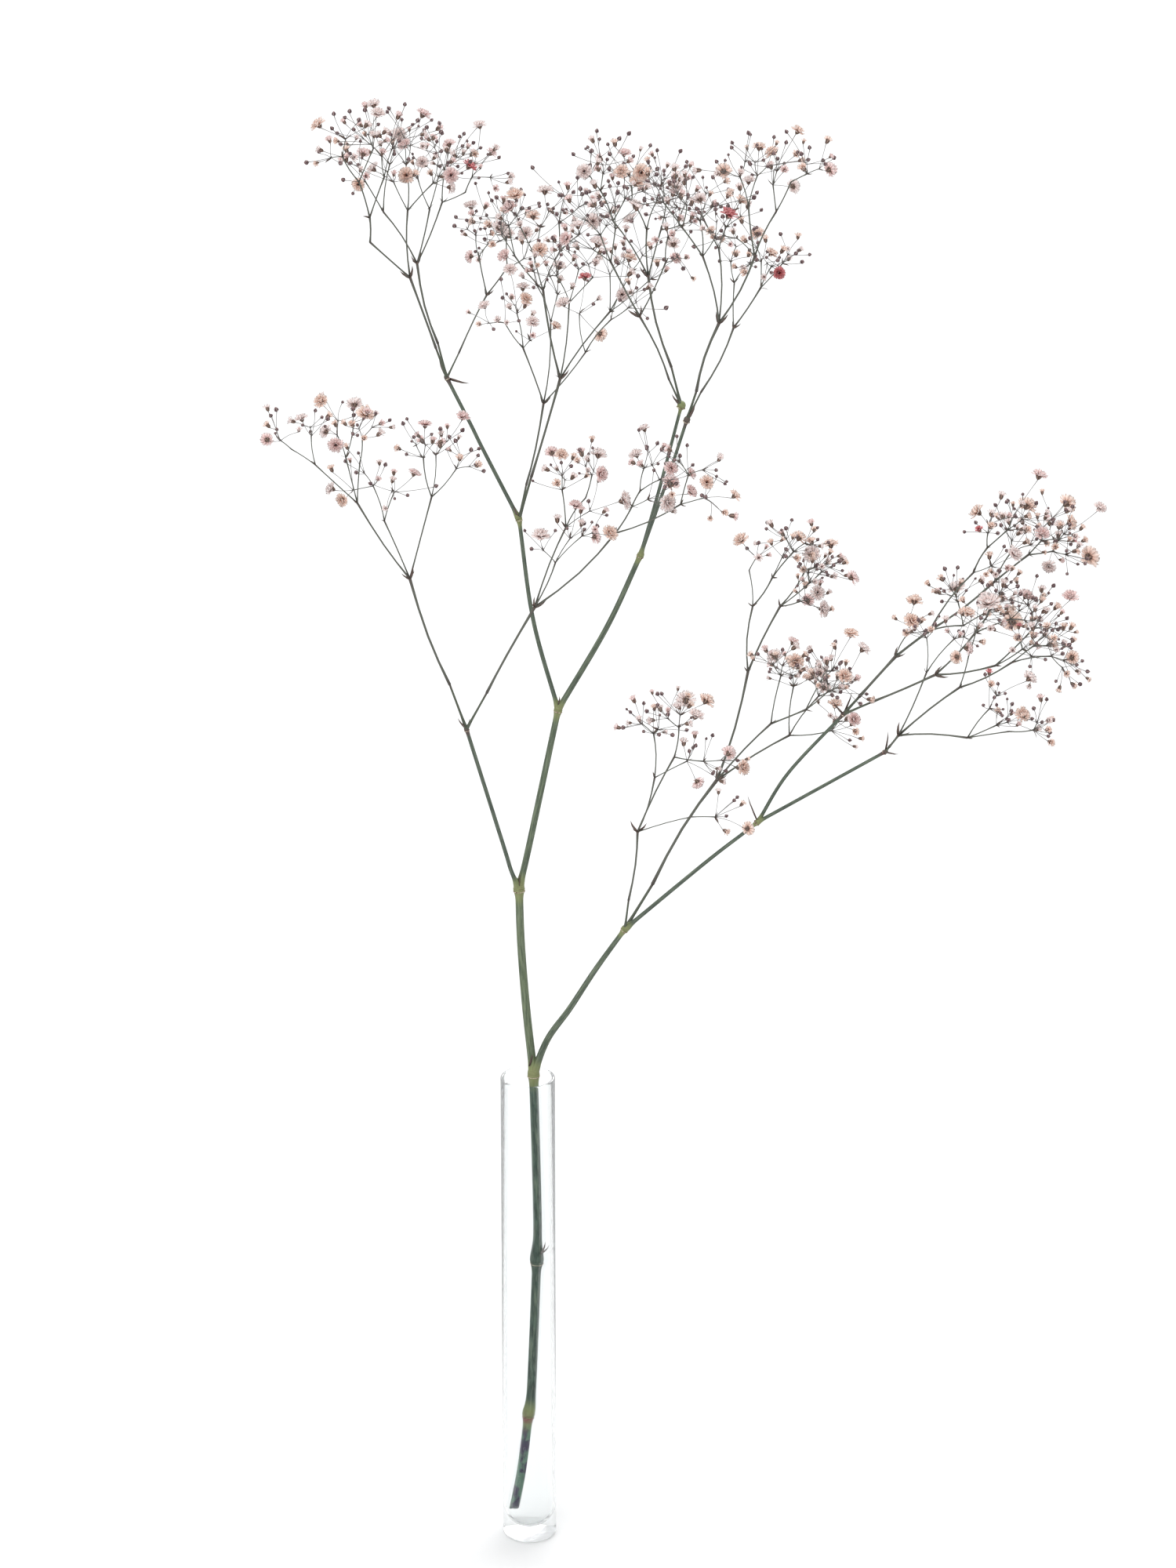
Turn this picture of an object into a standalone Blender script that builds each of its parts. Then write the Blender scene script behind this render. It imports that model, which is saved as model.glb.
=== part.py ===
"""A dried gypsophila stem standing in a slim clear glass tube.

The stem swells at its joints and forks again and again. Each spray is a fan of thin twigs that ends in cymes:
the oldest flower opens in the fork, and the two side twigs fork again, down to the last closed buds.
Metres, +Z up, with the origin in the middle of the tube's foot. The flower fan faces -Y.
"""

import math
import random

import bmesh
import bpy
import numpy as np
from mathutils import Vector
from mathutils.bvhtree import BVHTree

MM = 0.001

# Glass tube
TUBE_HEIGHT = 245 * MM
TUBE_RADIUS = 13 * MM
TUBE_WALL = 1.6 * MM
FOOT_THICKNESS = 5 * MM
FOOT_FLAT_RADIUS = 10.6 * MM
TUBE_SIDES = 24
BOTTOM_ARC_STEPS = 4
CORNER_ARC_STEPS = 2

# Gaps between neighbouring pieces
NODE_GAP = 0.3 * MM
BLOOM_GAP = 0.35 * MM
TWIG_GAP = 0.35 * MM
PEDICEL_GAP = 0.25 * MM

# How often a place is tried for each kind of growth, and what a rod's room leaves out at its forks
OPEN_TRIES = 30
BLOOM_TRIES = 40
TWIG_TRIES = 24
PEDICEL_TRIES = 20
PEDICEL_STEP = 0.4 * MM
ROOM_START = 0.3
ROOM_END = 0.9
ROOM_ROWS = 6000

# Stems. A stalk of the main stem ends at this share of the way to its spray's first fork.
STALK_SHARE = 0.3
THICK_STEM = 1.2 * MM
SWELLING_LENGTH = 1.9
SWELLING_TOP = (0.5, 0.55)
SPRAY_RADIUS = 0.55 * MM
TWIG_RADIUS = 0.48 * MM
PEDICEL_RADIUS = 0.42 * MM
TWIG_TAPER = 0.9
TIP_LIFT = 0.9
KID_PULL = 1.5
CROSSING_SHRINK = 0.995
BRACT_LENGTH = 3.4 * MM
BRACT_THICKNESS = 0.9 * MM
BRACT_OUTLINE = ((0.0, 0.6, 0.0), (0.45, 1.0, 0.12), (0.8, 0.6, 0.08))
LEAST_FORK_ANGLE = math.radians(30)
TWIG_STRETCH = 0.52
STRETCH_SPREAD = (0.75, 1.1)

# Blooms
BLOOM_SHARE = 0.75
MOST_OPEN = 0.7
HALF_OPEN_SHARE = 0.32
BUD_RADIUS = 0.95 * MM
HALF_OPEN_RADIUS = 1.9 * MM
RADIUS_SPREAD = (0.85, 1.15)
DEPTH_SPREAD = 0.7
HALF_OPEN_REACH = (0.45, 0.85)
BUD_REACH = (0.6, 1.05)
SHORTEST_PEDICEL = 3.6 * MM
WIDEST_CYME_ANGLE = math.radians(72)
BLOOM_LEAN = math.radians(24)
UPWARD_PULL = Vector((0, 0, 0.35))
SEED = 17

# The picture's view of the stem: 21.5 degrees down, 2.7 m away, 7,000 pixels of focal length
PICTURE_CENTRE = (750, 1000)
FOCAL_PIXELS = 7000
VIEW_PITCH = math.radians(21.5)
FOOT_DISTANCE = 2.695
FOOT_PIXEL = (675.7, 1953)
VIEW_FORWARD = Vector((0, math.cos(VIEW_PITCH), -math.sin(VIEW_PITCH)))
VIEW_UP = Vector((0, math.sin(VIEW_PITCH), math.cos(VIEW_PITCH)))
VIEW_RIGHT = Vector((1, 0, 0))
PIXEL = FOOT_DISTANCE / FOCAL_PIXELS


def sight_line(u, v):
    """The direction in which the picture shows the pixel (u, v)."""
    right = VIEW_RIGHT * (u - PICTURE_CENTRE[0])
    up = VIEW_UP * (PICTURE_CENTRE[1] - v)
    return VIEW_FORWARD * FOCAL_PIXELS + right + up


VIEW_POINT = -sight_line(*FOOT_PIXEL) * PIXEL


def spot(u, v, depth):
    """The point seen at the pixel (u, v), depth millimetres behind the upright plane through the origin."""
    line = sight_line(u, v)
    return VIEW_POINT + line * ((depth * MM - VIEW_POINT.y) / line.y)


def fork(u, v, depth, *twigs):
    """A joint of a spray, seen at the pixel (u, v), and what grows from it."""
    return {"pixel": (u, v), "depth": depth, "twigs": twigs}


def cyme(u, v, depth, blooms, reach):
    """A twig's end, the number of blooms beyond it, and how many millimetres they reach."""
    return {"pixel": (u, v), "depth": depth, "blooms": blooms, "reach": reach, "open": []}


# The main stem's joints: pixel, depth and swelling radius in millimetres
JOINTS = {
    "foot": (655.5, 1924, 0.5, 2.35),
    "first": (674, 1804, 2.5, 3.3),
    "second": (685, 1608, 4, 3.7),
    "rim": (680.5, 1369, 5, 3.3),
    "left_main": (662, 1133, 6, 3.1),
    "crown": (712, 905, 12, 2.3),
    "right_crown": (817, 708, 6, 1.9),
    "right_crown_left": (869, 518, 14, 1.7),
    "right_crown_right": (876, 536, -8, 1.8),
    "middle": (662, 662, 28, 1.8),
    "upper_left": (570, 482, 48, 1.8),
    "left_arm": (595, 930, -14, 1.7),
    "right_arm": (797, 1185, -8, 2.0),
    "right_fork": (966.5, 1048.5, -18, 1.7),
    "far_right_upper": (1075.8, 911, -8, 1.6),
    "far_right_lower": (1129, 959, -40, 1.6),
}

# The main stem's lengths: the joints that each joins, its radii in millimetres, and points that it bends through
LENGTHS = [
    ("foot", "first", 2.35, 2.2, [(663.8, 1883, 1), (669.4, 1844, 2)]),
    ("first", "second", 2.3, 2.25, [(678, 1770, 3)]),
    ("second", "rim", 2.15, 2.25, [(686, 1560, 4.4), (683.6, 1462, 5)]),
    ("rim", "left_main", 2.0, 1.85, [(671, 1284, 5), (664.5, 1202, 5.5)]),
    ("left_main", "crown", 1.55, 1.45, [(674.6, 1080, 7)]),
    ("crown", "right_crown", 1.35, 1.2, [(774, 800, 9)]),
    ("right_crown", "right_crown_left", 0.85, 0.75, [(842, 620, 13)]),
    ("right_crown", "right_crown_right", 0.85, 0.75, [(850, 615, -2)]),
    ("crown", "middle", 1.05, 0.95, [(680, 790, 19)]),
    ("middle", "upper_left", 0.95, 0.85, [(617, 575, 37), (600, 540.6, 41)]),
    ("left_main", "left_arm", 1.0, 0.9, [(651.8, 1110, 2), (642.6, 1080, -1)]),
    ("rim", "right_arm", 1.7, 1.15, [(698.8, 1325, 2), (727, 1286, -1), (760, 1236, -4)]),
    ("right_arm", "right_fork", 1.0, 0.85, [(900, 1100, -14), (946.7, 1064, -17)]),
    ("right_fork", "far_right_upper", 0.85, 0.75, [(1005.4, 986, -15)]),
    ("right_fork", "far_right_lower", 0.85, 0.75, []),
]

# Bracts of the main stem: joint, pixel and depth of the tip, and widest half-width in millimetres
BRACTS = [
    ("upper_left", (597, 493, 44), 0.9),
    ("upper_left", (558, 463, 44), 0.7),
    ("right_crown_right", (889, 521, -12), 1.0),
    ("right_crown_left", (856, 507, 9), 0.8),
    ("middle", (653, 648, 24), 0.7),
    ("left_arm", (603, 916, -9), 0.7),
    ("left_arm", (583, 920, -19), 0.7),
    ("right_arm", (803, 1168, -3), 0.8),
    ("right_fork", (951, 1016, -24), 0.6),
    ("far_right_upper", (1091, 883, -4), 0.8),
    ("far_right_upper", (1062, 899, -12), 0.7),
    ("far_right_lower", (1136, 935, -44), 0.7),
    ("far_right_lower", (1148, 966, -36), 0.7),
]

# The sprays: the main stem's joint that each grows from, and its forks
SPRAYS = {
    "top_left_outer_spray": ("upper_left", fork(
        523, 354, 28,
        fork(472, 309, 20, fork(
            471.6, 277.5, 18,
            fork(458, 232, 14, cyme(437, 200, 6, 9, 26), cyme(476, 190, 20, 8, 24)),
            fork(490, 226, 26, cyme(487, 200, 30, 7, 26), cyme(500, 190, 16, 6, 30)))),
        fork(520, 268.6, 34, cyme(518, 210, 42, 8, 34), cyme(502, 232, 26, 6, 24),
             cyme(552, 234, 40, 9, 30)))),
    "top_left_inner_spray": ("upper_left", fork(
        532, 336, 58,
        fork(489, 270.4, 62, cyme(465.7, 231, 54, 7, 24), cyme(497, 210, 70, 7, 30)),
        fork(548, 266.8, 50, cyme(533, 228, 48, 6, 28), cyme(559, 226, 60, 8, 32)),
        fork(564, 258, 70, cyme(567, 218, 78, 8, 30), fork(593.4, 245.4, 64, cyme(602, 226, 62, 8, 24))))),
    "upper_left_spray": ("upper_left", fork(
        621, 376, 86,
        fork(611, 328, 80, cyme(607, 300, 74, 5, 20), cyme(622, 312, 90, 5, 20)),
        fork(647, 341, 92, cyme(646, 304, 86, 9, 30), cyme(668, 330, 100, 6, 24)))),
    "middle_spray": ("middle", fork(
        693.3, 514.5, 10,
        fork(667.3, 444.2, 0, cyme(644, 412, -6, 6, 22), cyme(659.4, 400, 8, 5, 20), cyme(676, 434, -6, 4, 14)),
        fork(702.4, 411.5, 18, cyme(686, 366, 12, 6, 24), cyme(711, 376, 26, 6, 22)),
        fork(746.6, 449.7, 4, cyme(739, 400, 0, 4, 16),
             fork(779, 408, -2, cyme(801, 393, -8, 5, 20), cyme(790, 376, 6, 4, 18))))),
    "centre_spray": ("middle", fork(
        714.5, 483, 46,
        fork(692.7, 370.3, 54,
             fork(656.8, 326.8, 60, cyme(640, 300, 66, 6, 24), cyme(649, 288, 52, 7, 26)),
             fork(680, 322, 44, cyme(664, 290, 40, 6, 24), cyme(689, 290, 50, 6, 24)),
             fork(714, 321, 60, cyme(713, 284, 66, 9, 30), cyme(738, 300, 52, 7, 26))),
        fork(726, 386, 34, cyme(710, 352, 28, 5, 22), cyme(738, 344, 42, 6, 26), cyme(756, 354, 26, 6, 22)),
        fork(778, 397.5, 56, cyme(778, 350, 62, 6, 22), cyme(806, 345, 48, 8, 24), cyme(830, 356, 60, 4, 18)))),
    "top_middle_near_spray": ("right_crown_left", fork(
        816, 403.6, -8,
        fork(779, 334, -18, cyme(766, 300, -24, 9, 28), cyme(785, 292, -10, 9, 28), cyme(756, 318, -26, 5, 20)),
        fork(849, 334.8, -4, cyme(852, 302, -10, 7, 24), cyme(864, 328, 6, 4, 16)))),
    "top_middle_spray": ("right_crown_left", fork(
        827, 352.7, 30,
        fork(782, 282, 26, fork(766, 243, 20, cyme(752, 224, 14, 6, 22), cyme(769, 222, 28, 5, 20)),
             cyme(797, 254, 32, 7, 26)),
        fork(825, 293, 40, cyme(806, 256, 44, 10, 30), cyme(838, 256, 36, 8, 26)),
        fork(843, 293, 22, cyme(866, 288, 14, 8, 28), cyme(850, 256, 24, 8, 28)))),
    "top_right_spray": ("right_crown_right", fork(
        917, 412.5, -16,
        fork(896.4, 327, -26, fork(870, 290, -34, cyme(846, 258, -40, 7, 24), cyme(876, 262, -30, 7, 26)),
             cyme(893, 282, -18, 8, 28), cyme(912, 303, -34, 5, 20)),
        fork(917, 318, -4, cyme(895, 274, 2, 8, 28), cyme(926, 290, -8, 8, 26)),
        fork(962.5, 327.5, -24,
             fork(954.7, 262.4, -30, cyme(944, 226, -36, 8, 26), cyme(966, 224, -24, 8, 26)),
             fork(990, 270, -20, cyme(986, 236, -14, 8, 26), fork(1009, 232, -24, cyme(1029, 222, -28, 8, 22))),
             cyme(940, 304, -14, 5, 20)))),
    "outer_top_right_spray": ("right_crown_right", fork(
        935.7, 418, 20,
        fork(936.6, 360.7, 24, cyme(932, 334, 32, 5, 20), cyme(956, 337, 16, 5, 20)),
        fork(970.3, 367, 26, cyme(971, 334, 34, 6, 20), cyme(984, 340, 18, 7, 20), cyme(998, 336, 30, 5, 18)))),
    "left_spray": ("left_arm", fork(
        522.8, 738.3, -34,
        fork(455.8, 641.7, -42,
             fork(402.3, 593, -50, cyme(397, 556, -44, 6, 18), fork(371.7, 573, -56, cyme(358, 562, -58, 5, 14))),
             fork(441, 583.3, -34, cyme(430, 555, -32, 6, 18), cyme(449, 556, -40, 5, 16)),
             fork(459, 590, -50, cyme(462, 558, -50, 7, 18))),
        fork(490.3, 664.6, -26, cyme(476, 620, -22, 7, 18), cyme(502.7, 628, -30, 6, 18)),
        fork(550.5, 634, -22, cyme(540, 584, -26, 8, 18), cyme(556, 580.4, -16, 6, 18), cyme(582, 598, -24, 7, 18)))),
    "crossing_spray": ("left_arm", fork(
        682, 774.5, -38,
        fork(721.8, 672.7, -34, cyme(717, 625, -28, 8, 20), fork(747, 635, -40, cyme(755, 606, -42, 7, 18)),
             cyme(752, 652, -28, 3, 14)),
        fork(708.5, 717.5, -48, cyme(693, 702, -52, 3, 14), cyme(727, 687, -44, 4, 14), cyme(742, 684, -50, 5, 14)),
        fork(785, 680, -42,
             fork(806, 646, -36, fork(816.3, 626.6, -34, cyme(821, 598, -30, 6, 18), cyme(841, 612, -40, 7, 18)),
                  cyme(826, 637, -44, 4, 14)),
             fork(868, 643.4, -50, cyme(878, 606, -48, 9, 22), cyme(898, 635, -54, 6, 18))))),
    "lower_right_near_spray": ("right_arm", fork(
        813.2, 1061, -38,
        fork(835, 992, -44, cyme(833.7, 936, -48, 8, 20), cyme(876, 971, -38, 4, 16)),
        fork(860, 965.6, -32, cyme(866, 928, -28, 9, 22), cyme(897, 971, -26, 5, 18)),
        fork(882, 1042, -50, cyme(912, 1042, -52, 4, 16)))),
    "right_middle_spray": ("right_arm", fork(
        914.4, 995, 10,
        fork(954, 857, 12,
             fork(960, 773.5, 6, fork(955.5, 727.4, 2, cyme(965, 711, -2, 4, 14)),
                  fork(985, 737, 12, cyme(1012, 704, 14, 7, 22), cyme(998, 710, 4, 4, 16))),
             fork(995, 773.5, 22, cyme(1027, 728, 28, 9, 24), cyme(1032, 744, 14, 9, 24), cyme(1020, 767, 28, 5, 18))),
        fork(983.4, 923, -2, cyme(996, 862, -8, 7, 20),
             fork(1028, 905, -6, cyme(1056, 882, -12, 9, 20), cyme(1046, 870, 4, 8, 20))),
        fork(1006.8, 938, 20, cyme(1012, 876, 28, 6, 18), cyme(1044, 888, 16, 8, 22), cyme(1060, 932, 24, 5, 16)))),
    "right_upper_spray": ("far_right_upper", fork(
        1142, 837.7, 4,
        cyme(1158, 808, -2, 5, 12),
        fork(1185.4, 804.5, 2,
             fork(1241.5, 730.5, -8, fork(1259.4, 698.6, -12, cyme(1260, 680, -16, 5, 16), cyme(1285, 676, -8, 9, 22)),
                  cyme(1264, 722, -18, 4, 14)),
             fork(1268.3, 742, 10, fork(1311.7, 707.6, 12, cyme(1328, 690, 18, 10, 24), cyme(1343, 703, 4, 10, 22)),
                  cyme(1290, 704, 4, 7, 20)),
             fork(1228.8, 798, 18, cyme(1222, 768, 14, 7, 18), cyme(1256, 782, 24, 6, 16))))),
    "right_inner_spray": ("far_right_upper", fork(
        1193, 860.6, -20,
        fork(1244, 807, -16, cyme(1262, 778, -24, 9, 20), cyme(1288, 790, -12, 9, 22)),
        fork(1269.6, 849, -26, cyme(1304, 828, -32, 9, 22), cyme(1318, 802, -22, 10, 24)))),
    "right_lower_spray": ("far_right_lower", fork(
        1146, 938, -44,
        fork(1181.5, 858.5, -54, cyme(1182, 814, -50, 4, 14), cyme(1217, 815, -58, 6, 20)),
        fork(1223.7, 877, -42, fork(1236.4, 832.6, -38, cyme(1246, 800, -42, 5, 18)),
             fork(1290, 845.3, -46, cyme(1318, 824, -50, 8, 22), cyme(1341, 837, -40, 7, 20))),
        fork(1234, 941, -66, cyme(1262, 904, -72, 5, 16), cyme(1271, 925, -60, 5, 18),
             fork(1287, 933, -68, cyme(1318, 931, -70, 5, 16))))),
}

# The open flowers that stand out: pixel of the middle, and diameter in pixels
OPEN_FLOWERS = [
    (407, 160, 18), (477, 135, 17), (481, 146, 17), (441, 204, 17), (463, 197, 16), (477, 216, 16), (457, 236, 15),
    (509, 172, 16), (517, 186, 16), (519, 224, 18), (539, 208, 15), (539, 147, 18), (580, 134, 14), (573, 185, 15),
    (598, 213, 18), (575, 224, 18), (573, 239, 15), (612, 161, 16), (626, 196, 14),
    (601, 264, 17), (657, 251, 20), (651, 266, 18), (695, 245, 18), (636, 293, 21), (680, 277, 16), (671, 299, 17),
    (601, 327, 15), (645, 327, 17), (689, 320, 18), (723, 305, 16), (737, 289, 16), (756, 283, 18), (764, 311, 21),
    (713, 341, 16), (651, 345, 15), (667, 368, 16), (670, 382, 15), (618, 391, 14), (679, 412, 15), (708, 417, 14),
    (719, 388, 17), (746, 355, 15), (765, 426, 16), (793, 376, 15), (803, 331, 16),
    (796, 197, 16), (745, 219, 17), (793, 220, 17), (817, 220, 19), (812, 233, 18), (862, 239, 17), (923, 219, 17),
    (893, 255, 16), (810, 263, 17), (805, 281, 18), (762, 312, 18), (859, 312, 16), (860, 331, 15), (929, 275, 20),
    (908, 296, 15), (945, 257, 15), (955, 232, 16), (966, 299, 16), (1017, 168, 16), (968, 189, 16), (985, 195, 15),
    (1057, 217, 17), (1011, 238, 16), (983, 324, 15), (993, 348, 14),
    (341, 561, 15), (410, 513, 17), (385, 535, 15), (416, 551, 15), (428, 567, 17), (452, 517, 18), (465, 530, 20),
    (519, 557, 17), (542, 543, 16), (590, 533, 16), (528, 605, 15), (424, 624, 17), (438, 637, 16),
    (690, 685, 20), (704, 578, 16), (716, 581, 15), (763, 581, 18), (765, 605, 18), (734, 646, 16), (758, 685, 15),
    (777, 681, 18), (794, 639, 22), (812, 581, 16), (822, 548, 14), (855, 598, 16), (855, 618, 21), (850, 641, 20),
    (880, 628, 16), (880, 605, 15), (901, 616, 16), (936, 633, 15),
    (875, 894, 22), (900, 895, 19), (887, 914, 19), (929, 961, 17), (946, 979, 18), (889, 997, 16), (953, 1057, 16),
    (946, 690, 18), (1019, 687, 18), (1060, 696, 18), (1036, 708, 20), (1086, 737, 18), (1048, 777, 19),
    (1042, 757, 17), (1030, 766, 15), (1085, 810, 17), (1100, 829, 18), (989, 838, 18), (1011, 820, 15),
    (1014, 845, 20), (1045, 859, 16), (1076, 863, 17), (1051, 878, 16), (1065, 900, 18), (1088, 918, 17),
    (1248, 654, 20), (1325, 608, 19), (1289, 644, 20), (1309, 646, 22), (1360, 643, 22), (1402, 649, 16),
    (1364, 667, 18), (1329, 682, 18), (1388, 711, 24), (1293, 708, 18), (1338, 721, 16), (1166, 768, 18),
    (1162, 793, 19), (1220, 752, 20), (1261, 771, 26), (1234, 783, 17), (1291, 794, 24), (1308, 761, 18),
    (1365, 762, 18), (1340, 822, 19), (1367, 839, 16), (1312, 866, 18), (1233, 827, 16), (1221, 838, 15),
    (1303, 912, 18),
]


class Twig:
    """A stretch of a spray up to its end, with what grows from that end or the bloom that it carries."""

    def __init__(self, end, radius, bloom=None):
        self.end = end
        self.radius = radius
        self.bloom = bloom
        self.bract = None
        self.kids = []


class Bloom:
    """An open flower, a half-open one or a bud, at the place of its middle."""

    def __init__(self, kind, middle, radius):
        self.kind = kind
        self.middle = middle
        self.radius = radius
        self.axis = Vector((0, 0, 1))
        self.place = None

    def take_room(self, room):
        self.place = room.fill(self.middle, self.middle, self.radius * FURTHEST[self.kind])

    def free(self, room):
        """The clearance that it has where it is now."""
        return room.clearance(self.middle, self.middle, self.radius * FURTHEST[self.kind])

    def foot(self):
        """Where the pedicel ends, under the calyx."""
        return self.middle - self.axis * self.radius * FOOT_DEPTH[self.kind]


# How far a bloom's foot is below its middle, and how far its furthest point is from it, in radii
FOOT_DEPTH = {"open": 0.45, "half_open": 0.8, "bud": 1.0}
FURTHEST = {"open": 1.03, "half_open": 1.35, "bud": 1.22}


class Room:
    """The space that stems and blooms already fill, so that a new one is grown clear of them."""

    def __init__(self):
        self.starts = np.zeros((ROOM_ROWS, 3))
        self.ends = np.zeros((ROOM_ROWS, 3))
        self.radii = np.zeros(ROOM_ROWS)
        self.count = 0

    def fill(self, start, end, radius):
        self.starts[self.count] = start
        self.ends[self.count] = end
        self.radii[self.count] = radius
        self.count += 1
        return self.count - 1

    def empty(self, place):
        self.radii[place] = -1

    def clearance(self, start, end, radius):
        """The least distance from a rod of this radius to all that is filled."""
        a = self.starts[: self.count]
        along = self.ends[: self.count] - a
        p = np.array(start)
        rod = np.array(end) - p
        between = a - p
        rod_rod = max(rod @ rod, 1e-12)
        along_along = np.maximum((along * along).sum(axis=1), 1e-12)
        rod_along = along @ rod
        rod_between = between @ rod
        along_between = (along * between).sum(axis=1)
        spread = np.maximum(rod_rod * along_along - rod_along**2, 1e-18)
        s = np.clip((rod_between * along_along - along_between * rod_along) / spread, 0, 1)
        t = np.clip((s * rod_along - along_between) / along_along, 0, 1)
        s = np.clip((rod_between + t * rod_along) / rod_rod, 0, 1)
        apart = between + t[:, None] * along - s[:, None] * rod
        return float((np.sqrt((apart * apart).sum(axis=1)) - self.radii[: self.count]).min() - radius)


def random_direction(axis, widest, draw):
    """A direction within the widest angle of the axis."""
    rise = 1 - draw.random() * (1 - math.cos(widest))
    turn = draw.random() * math.tau
    out = math.sqrt(max(0, 1 - rise * rise))
    local = Vector((out * math.cos(turn), out * math.sin(turn), rise))
    return axis.to_track_quat("Z", "Y") @ local


def bloom_axis(middle, start, draw):
    """A bloom faces on along its pedicel, with a random lean."""
    along = (middle - start).normalized()
    return random_direction((along + UPWARD_PULL).normalized(), BLOOM_LEAN, draw)


def share_out_open_flowers(cymes):
    """Gives each open flower to the cyme whose heart is nearest to it in the picture."""
    for u, v, size in OPEN_FLOWERS:
        def distance(tip):
            full = len(tip["open"]) >= MOST_OPEN * tip["blooms"]
            return full, math.dist((u, v), tip["heart"])

        nearest = min(cymes, key=distance)
        nearest["open"].append((u, v, size))


def place_blooms(tip, start, room, draw):
    """The blooms of one cyme: its open flowers where the picture shows them, then half-open ones and buds."""
    end = spot(*tip["pixel"], tip["depth"])
    reach = tip["reach"] * MM
    heading = ((end - start).normalized() + UPWARD_PULL).normalized()
    blooms = []
    for u, v, size in tip["open"]:
        radius = size * PIXEL / 2
        for turn in range(OPEN_TRIES):
            spread = tip["reach"] * (1 + turn / OPEN_TRIES)
            depth = tip["depth"] + draw.uniform(-DEPTH_SPREAD, DEPTH_SPREAD) * spread
            bloom = Bloom("open", spot(u, v, depth), radius)
            far_enough = (bloom.middle - end).length > radius + SHORTEST_PEDICEL
            if far_enough and bloom.free(room) > BLOOM_GAP:
                bloom.take_room(room)
                blooms.append(bloom)
                break
    wanted = round(tip["blooms"] * BLOOM_SHARE)
    while len(blooms) < wanted:
        half_open = draw.random() < HALF_OPEN_SHARE
        kind = "half_open" if half_open else "bud"
        radius = (HALF_OPEN_RADIUS if half_open else BUD_RADIUS) * draw.uniform(*RADIUS_SPREAD)
        for _ in range(BLOOM_TRIES):
            share = draw.uniform(*(HALF_OPEN_REACH if half_open else BUD_REACH))
            direction = random_direction(heading, WIDEST_CYME_ANGLE, draw)
            bloom = Bloom(kind, end + direction * max(reach * share, radius + SHORTEST_PEDICEL * 1.2), radius)
            if bloom.free(room) > BLOOM_GAP:
                bloom.take_room(room)
                blooms.append(bloom)
                break
        else:
            wanted -= 1
    return blooms


def parted(way, ways):
    """Whether this way leaves a fork clear of the other ways."""
    return all(way.angle(other) > LEAST_FORK_ANGLE for other in ways)


def pedicel(start, bloom, ways, room, draw):
    """Hangs the bloom on its stalk. Where other growth is in the way, the bloom moves, along the line of
    sight if it is open, or else it is left out."""
    room.empty(bloom.place)
    wanted = bloom.middle.copy()
    sight = (wanted - VIEW_POINT).normalized()
    for turn in range(PEDICEL_TRIES):
        if turn and bloom.kind == "open":
            bloom.middle = wanted + sight * draw.uniform(-1, 1) * turn * PEDICEL_STEP
        elif turn:
            bloom.middle = wanted + random_direction(Vector((0, 0, 1)), math.pi, draw) * turn * PEDICEL_STEP
        bloom.axis = bloom_axis(bloom.middle, start, draw)
        foot = bloom.foot()
        long_enough = (foot - start).length > SHORTEST_PEDICEL * 0.8
        if not long_enough or not parted(foot - start, ways):
            continue
        free = min(bloom.free(room), room.clearance(start.lerp(foot, ROOM_START), foot, PEDICEL_RADIUS))
        if free > PEDICEL_GAP:
            ways.append(foot - start)
            bloom.take_room(room)
            room.fill(start.lerp(foot, ROOM_START), start.lerp(foot, ROOM_END), PEDICEL_RADIUS)
            return [Twig(foot, PEDICEL_RADIUS, bloom)]
    return []


def two_ways(blooms, start):
    """Parts the blooms in two, across the direction in which they spread most as seen from the start."""
    lines = np.array([(bloom.middle - start).normalized() for bloom in blooms])
    spread = np.linalg.svd(lines - lines.mean(axis=0))[2][0]
    ordered = [blooms[i] for i in np.argsort(lines @ spread, kind="stable")]
    half = len(ordered) // 2
    return ordered[:half], ordered[half:]


def branch_out(start, back, blooms, radius, room, draw):
    """Grows a cyme: the nearest bloom stands in the fork, and the others part two ways and fork again."""
    ways = [back]
    if len(blooms) <= 2:
        return [twig for bloom in blooms for twig in pedicel(start, bloom, ways, room, draw)]
    by_distance = sorted(blooms, key=lambda bloom: (bloom.middle - start).length)
    twigs = pedicel(start, by_distance[0], ways, room, draw)
    for group in two_ways(by_distance[1:], start):
        if len(group) == 1:
            twigs += pedicel(start, group[0], ways, room, draw)
            continue
        centre = sum((bloom.middle for bloom in group), Vector()) / len(group)
        nearest = min((bloom.middle - start).length - bloom.radius for bloom in group)
        stretch = min(TWIG_STRETCH * (centre - start).length, nearest - SHORTEST_PEDICEL)
        stretch = max(stretch, SHORTEST_PEDICEL)
        heading = (centre - start).normalized()
        best = None
        for turn in range(TWIG_TRIES):
            way = random_direction(heading, math.radians(3 + 2 * turn), draw)
            end = start + way * max(stretch * draw.uniform(*STRETCH_SPREAD), SHORTEST_PEDICEL)
            free = room.clearance(start.lerp(end, ROOM_START), end, radius)
            if not parted(way, ways):
                free -= 1
            if best is None or free > best[0]:
                best = (free, end)
            if free > TWIG_GAP:
                break
        if best[0] < 0:
            for bloom in group:
                room.empty(bloom.place)
            continue
        twig = Twig(best[1], radius)
        ways.append(twig.end - start)
        room.fill(start.lerp(twig.end, ROOM_START), twig.end, radius)
        thinner = max(radius * TWIG_TAPER, PEDICEL_RADIUS)
        twig.kids = branch_out(twig.end, start - twig.end, group, thinner, room, draw)
        if twig.kids:
            twigs.append(twig)
    return twigs


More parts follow.
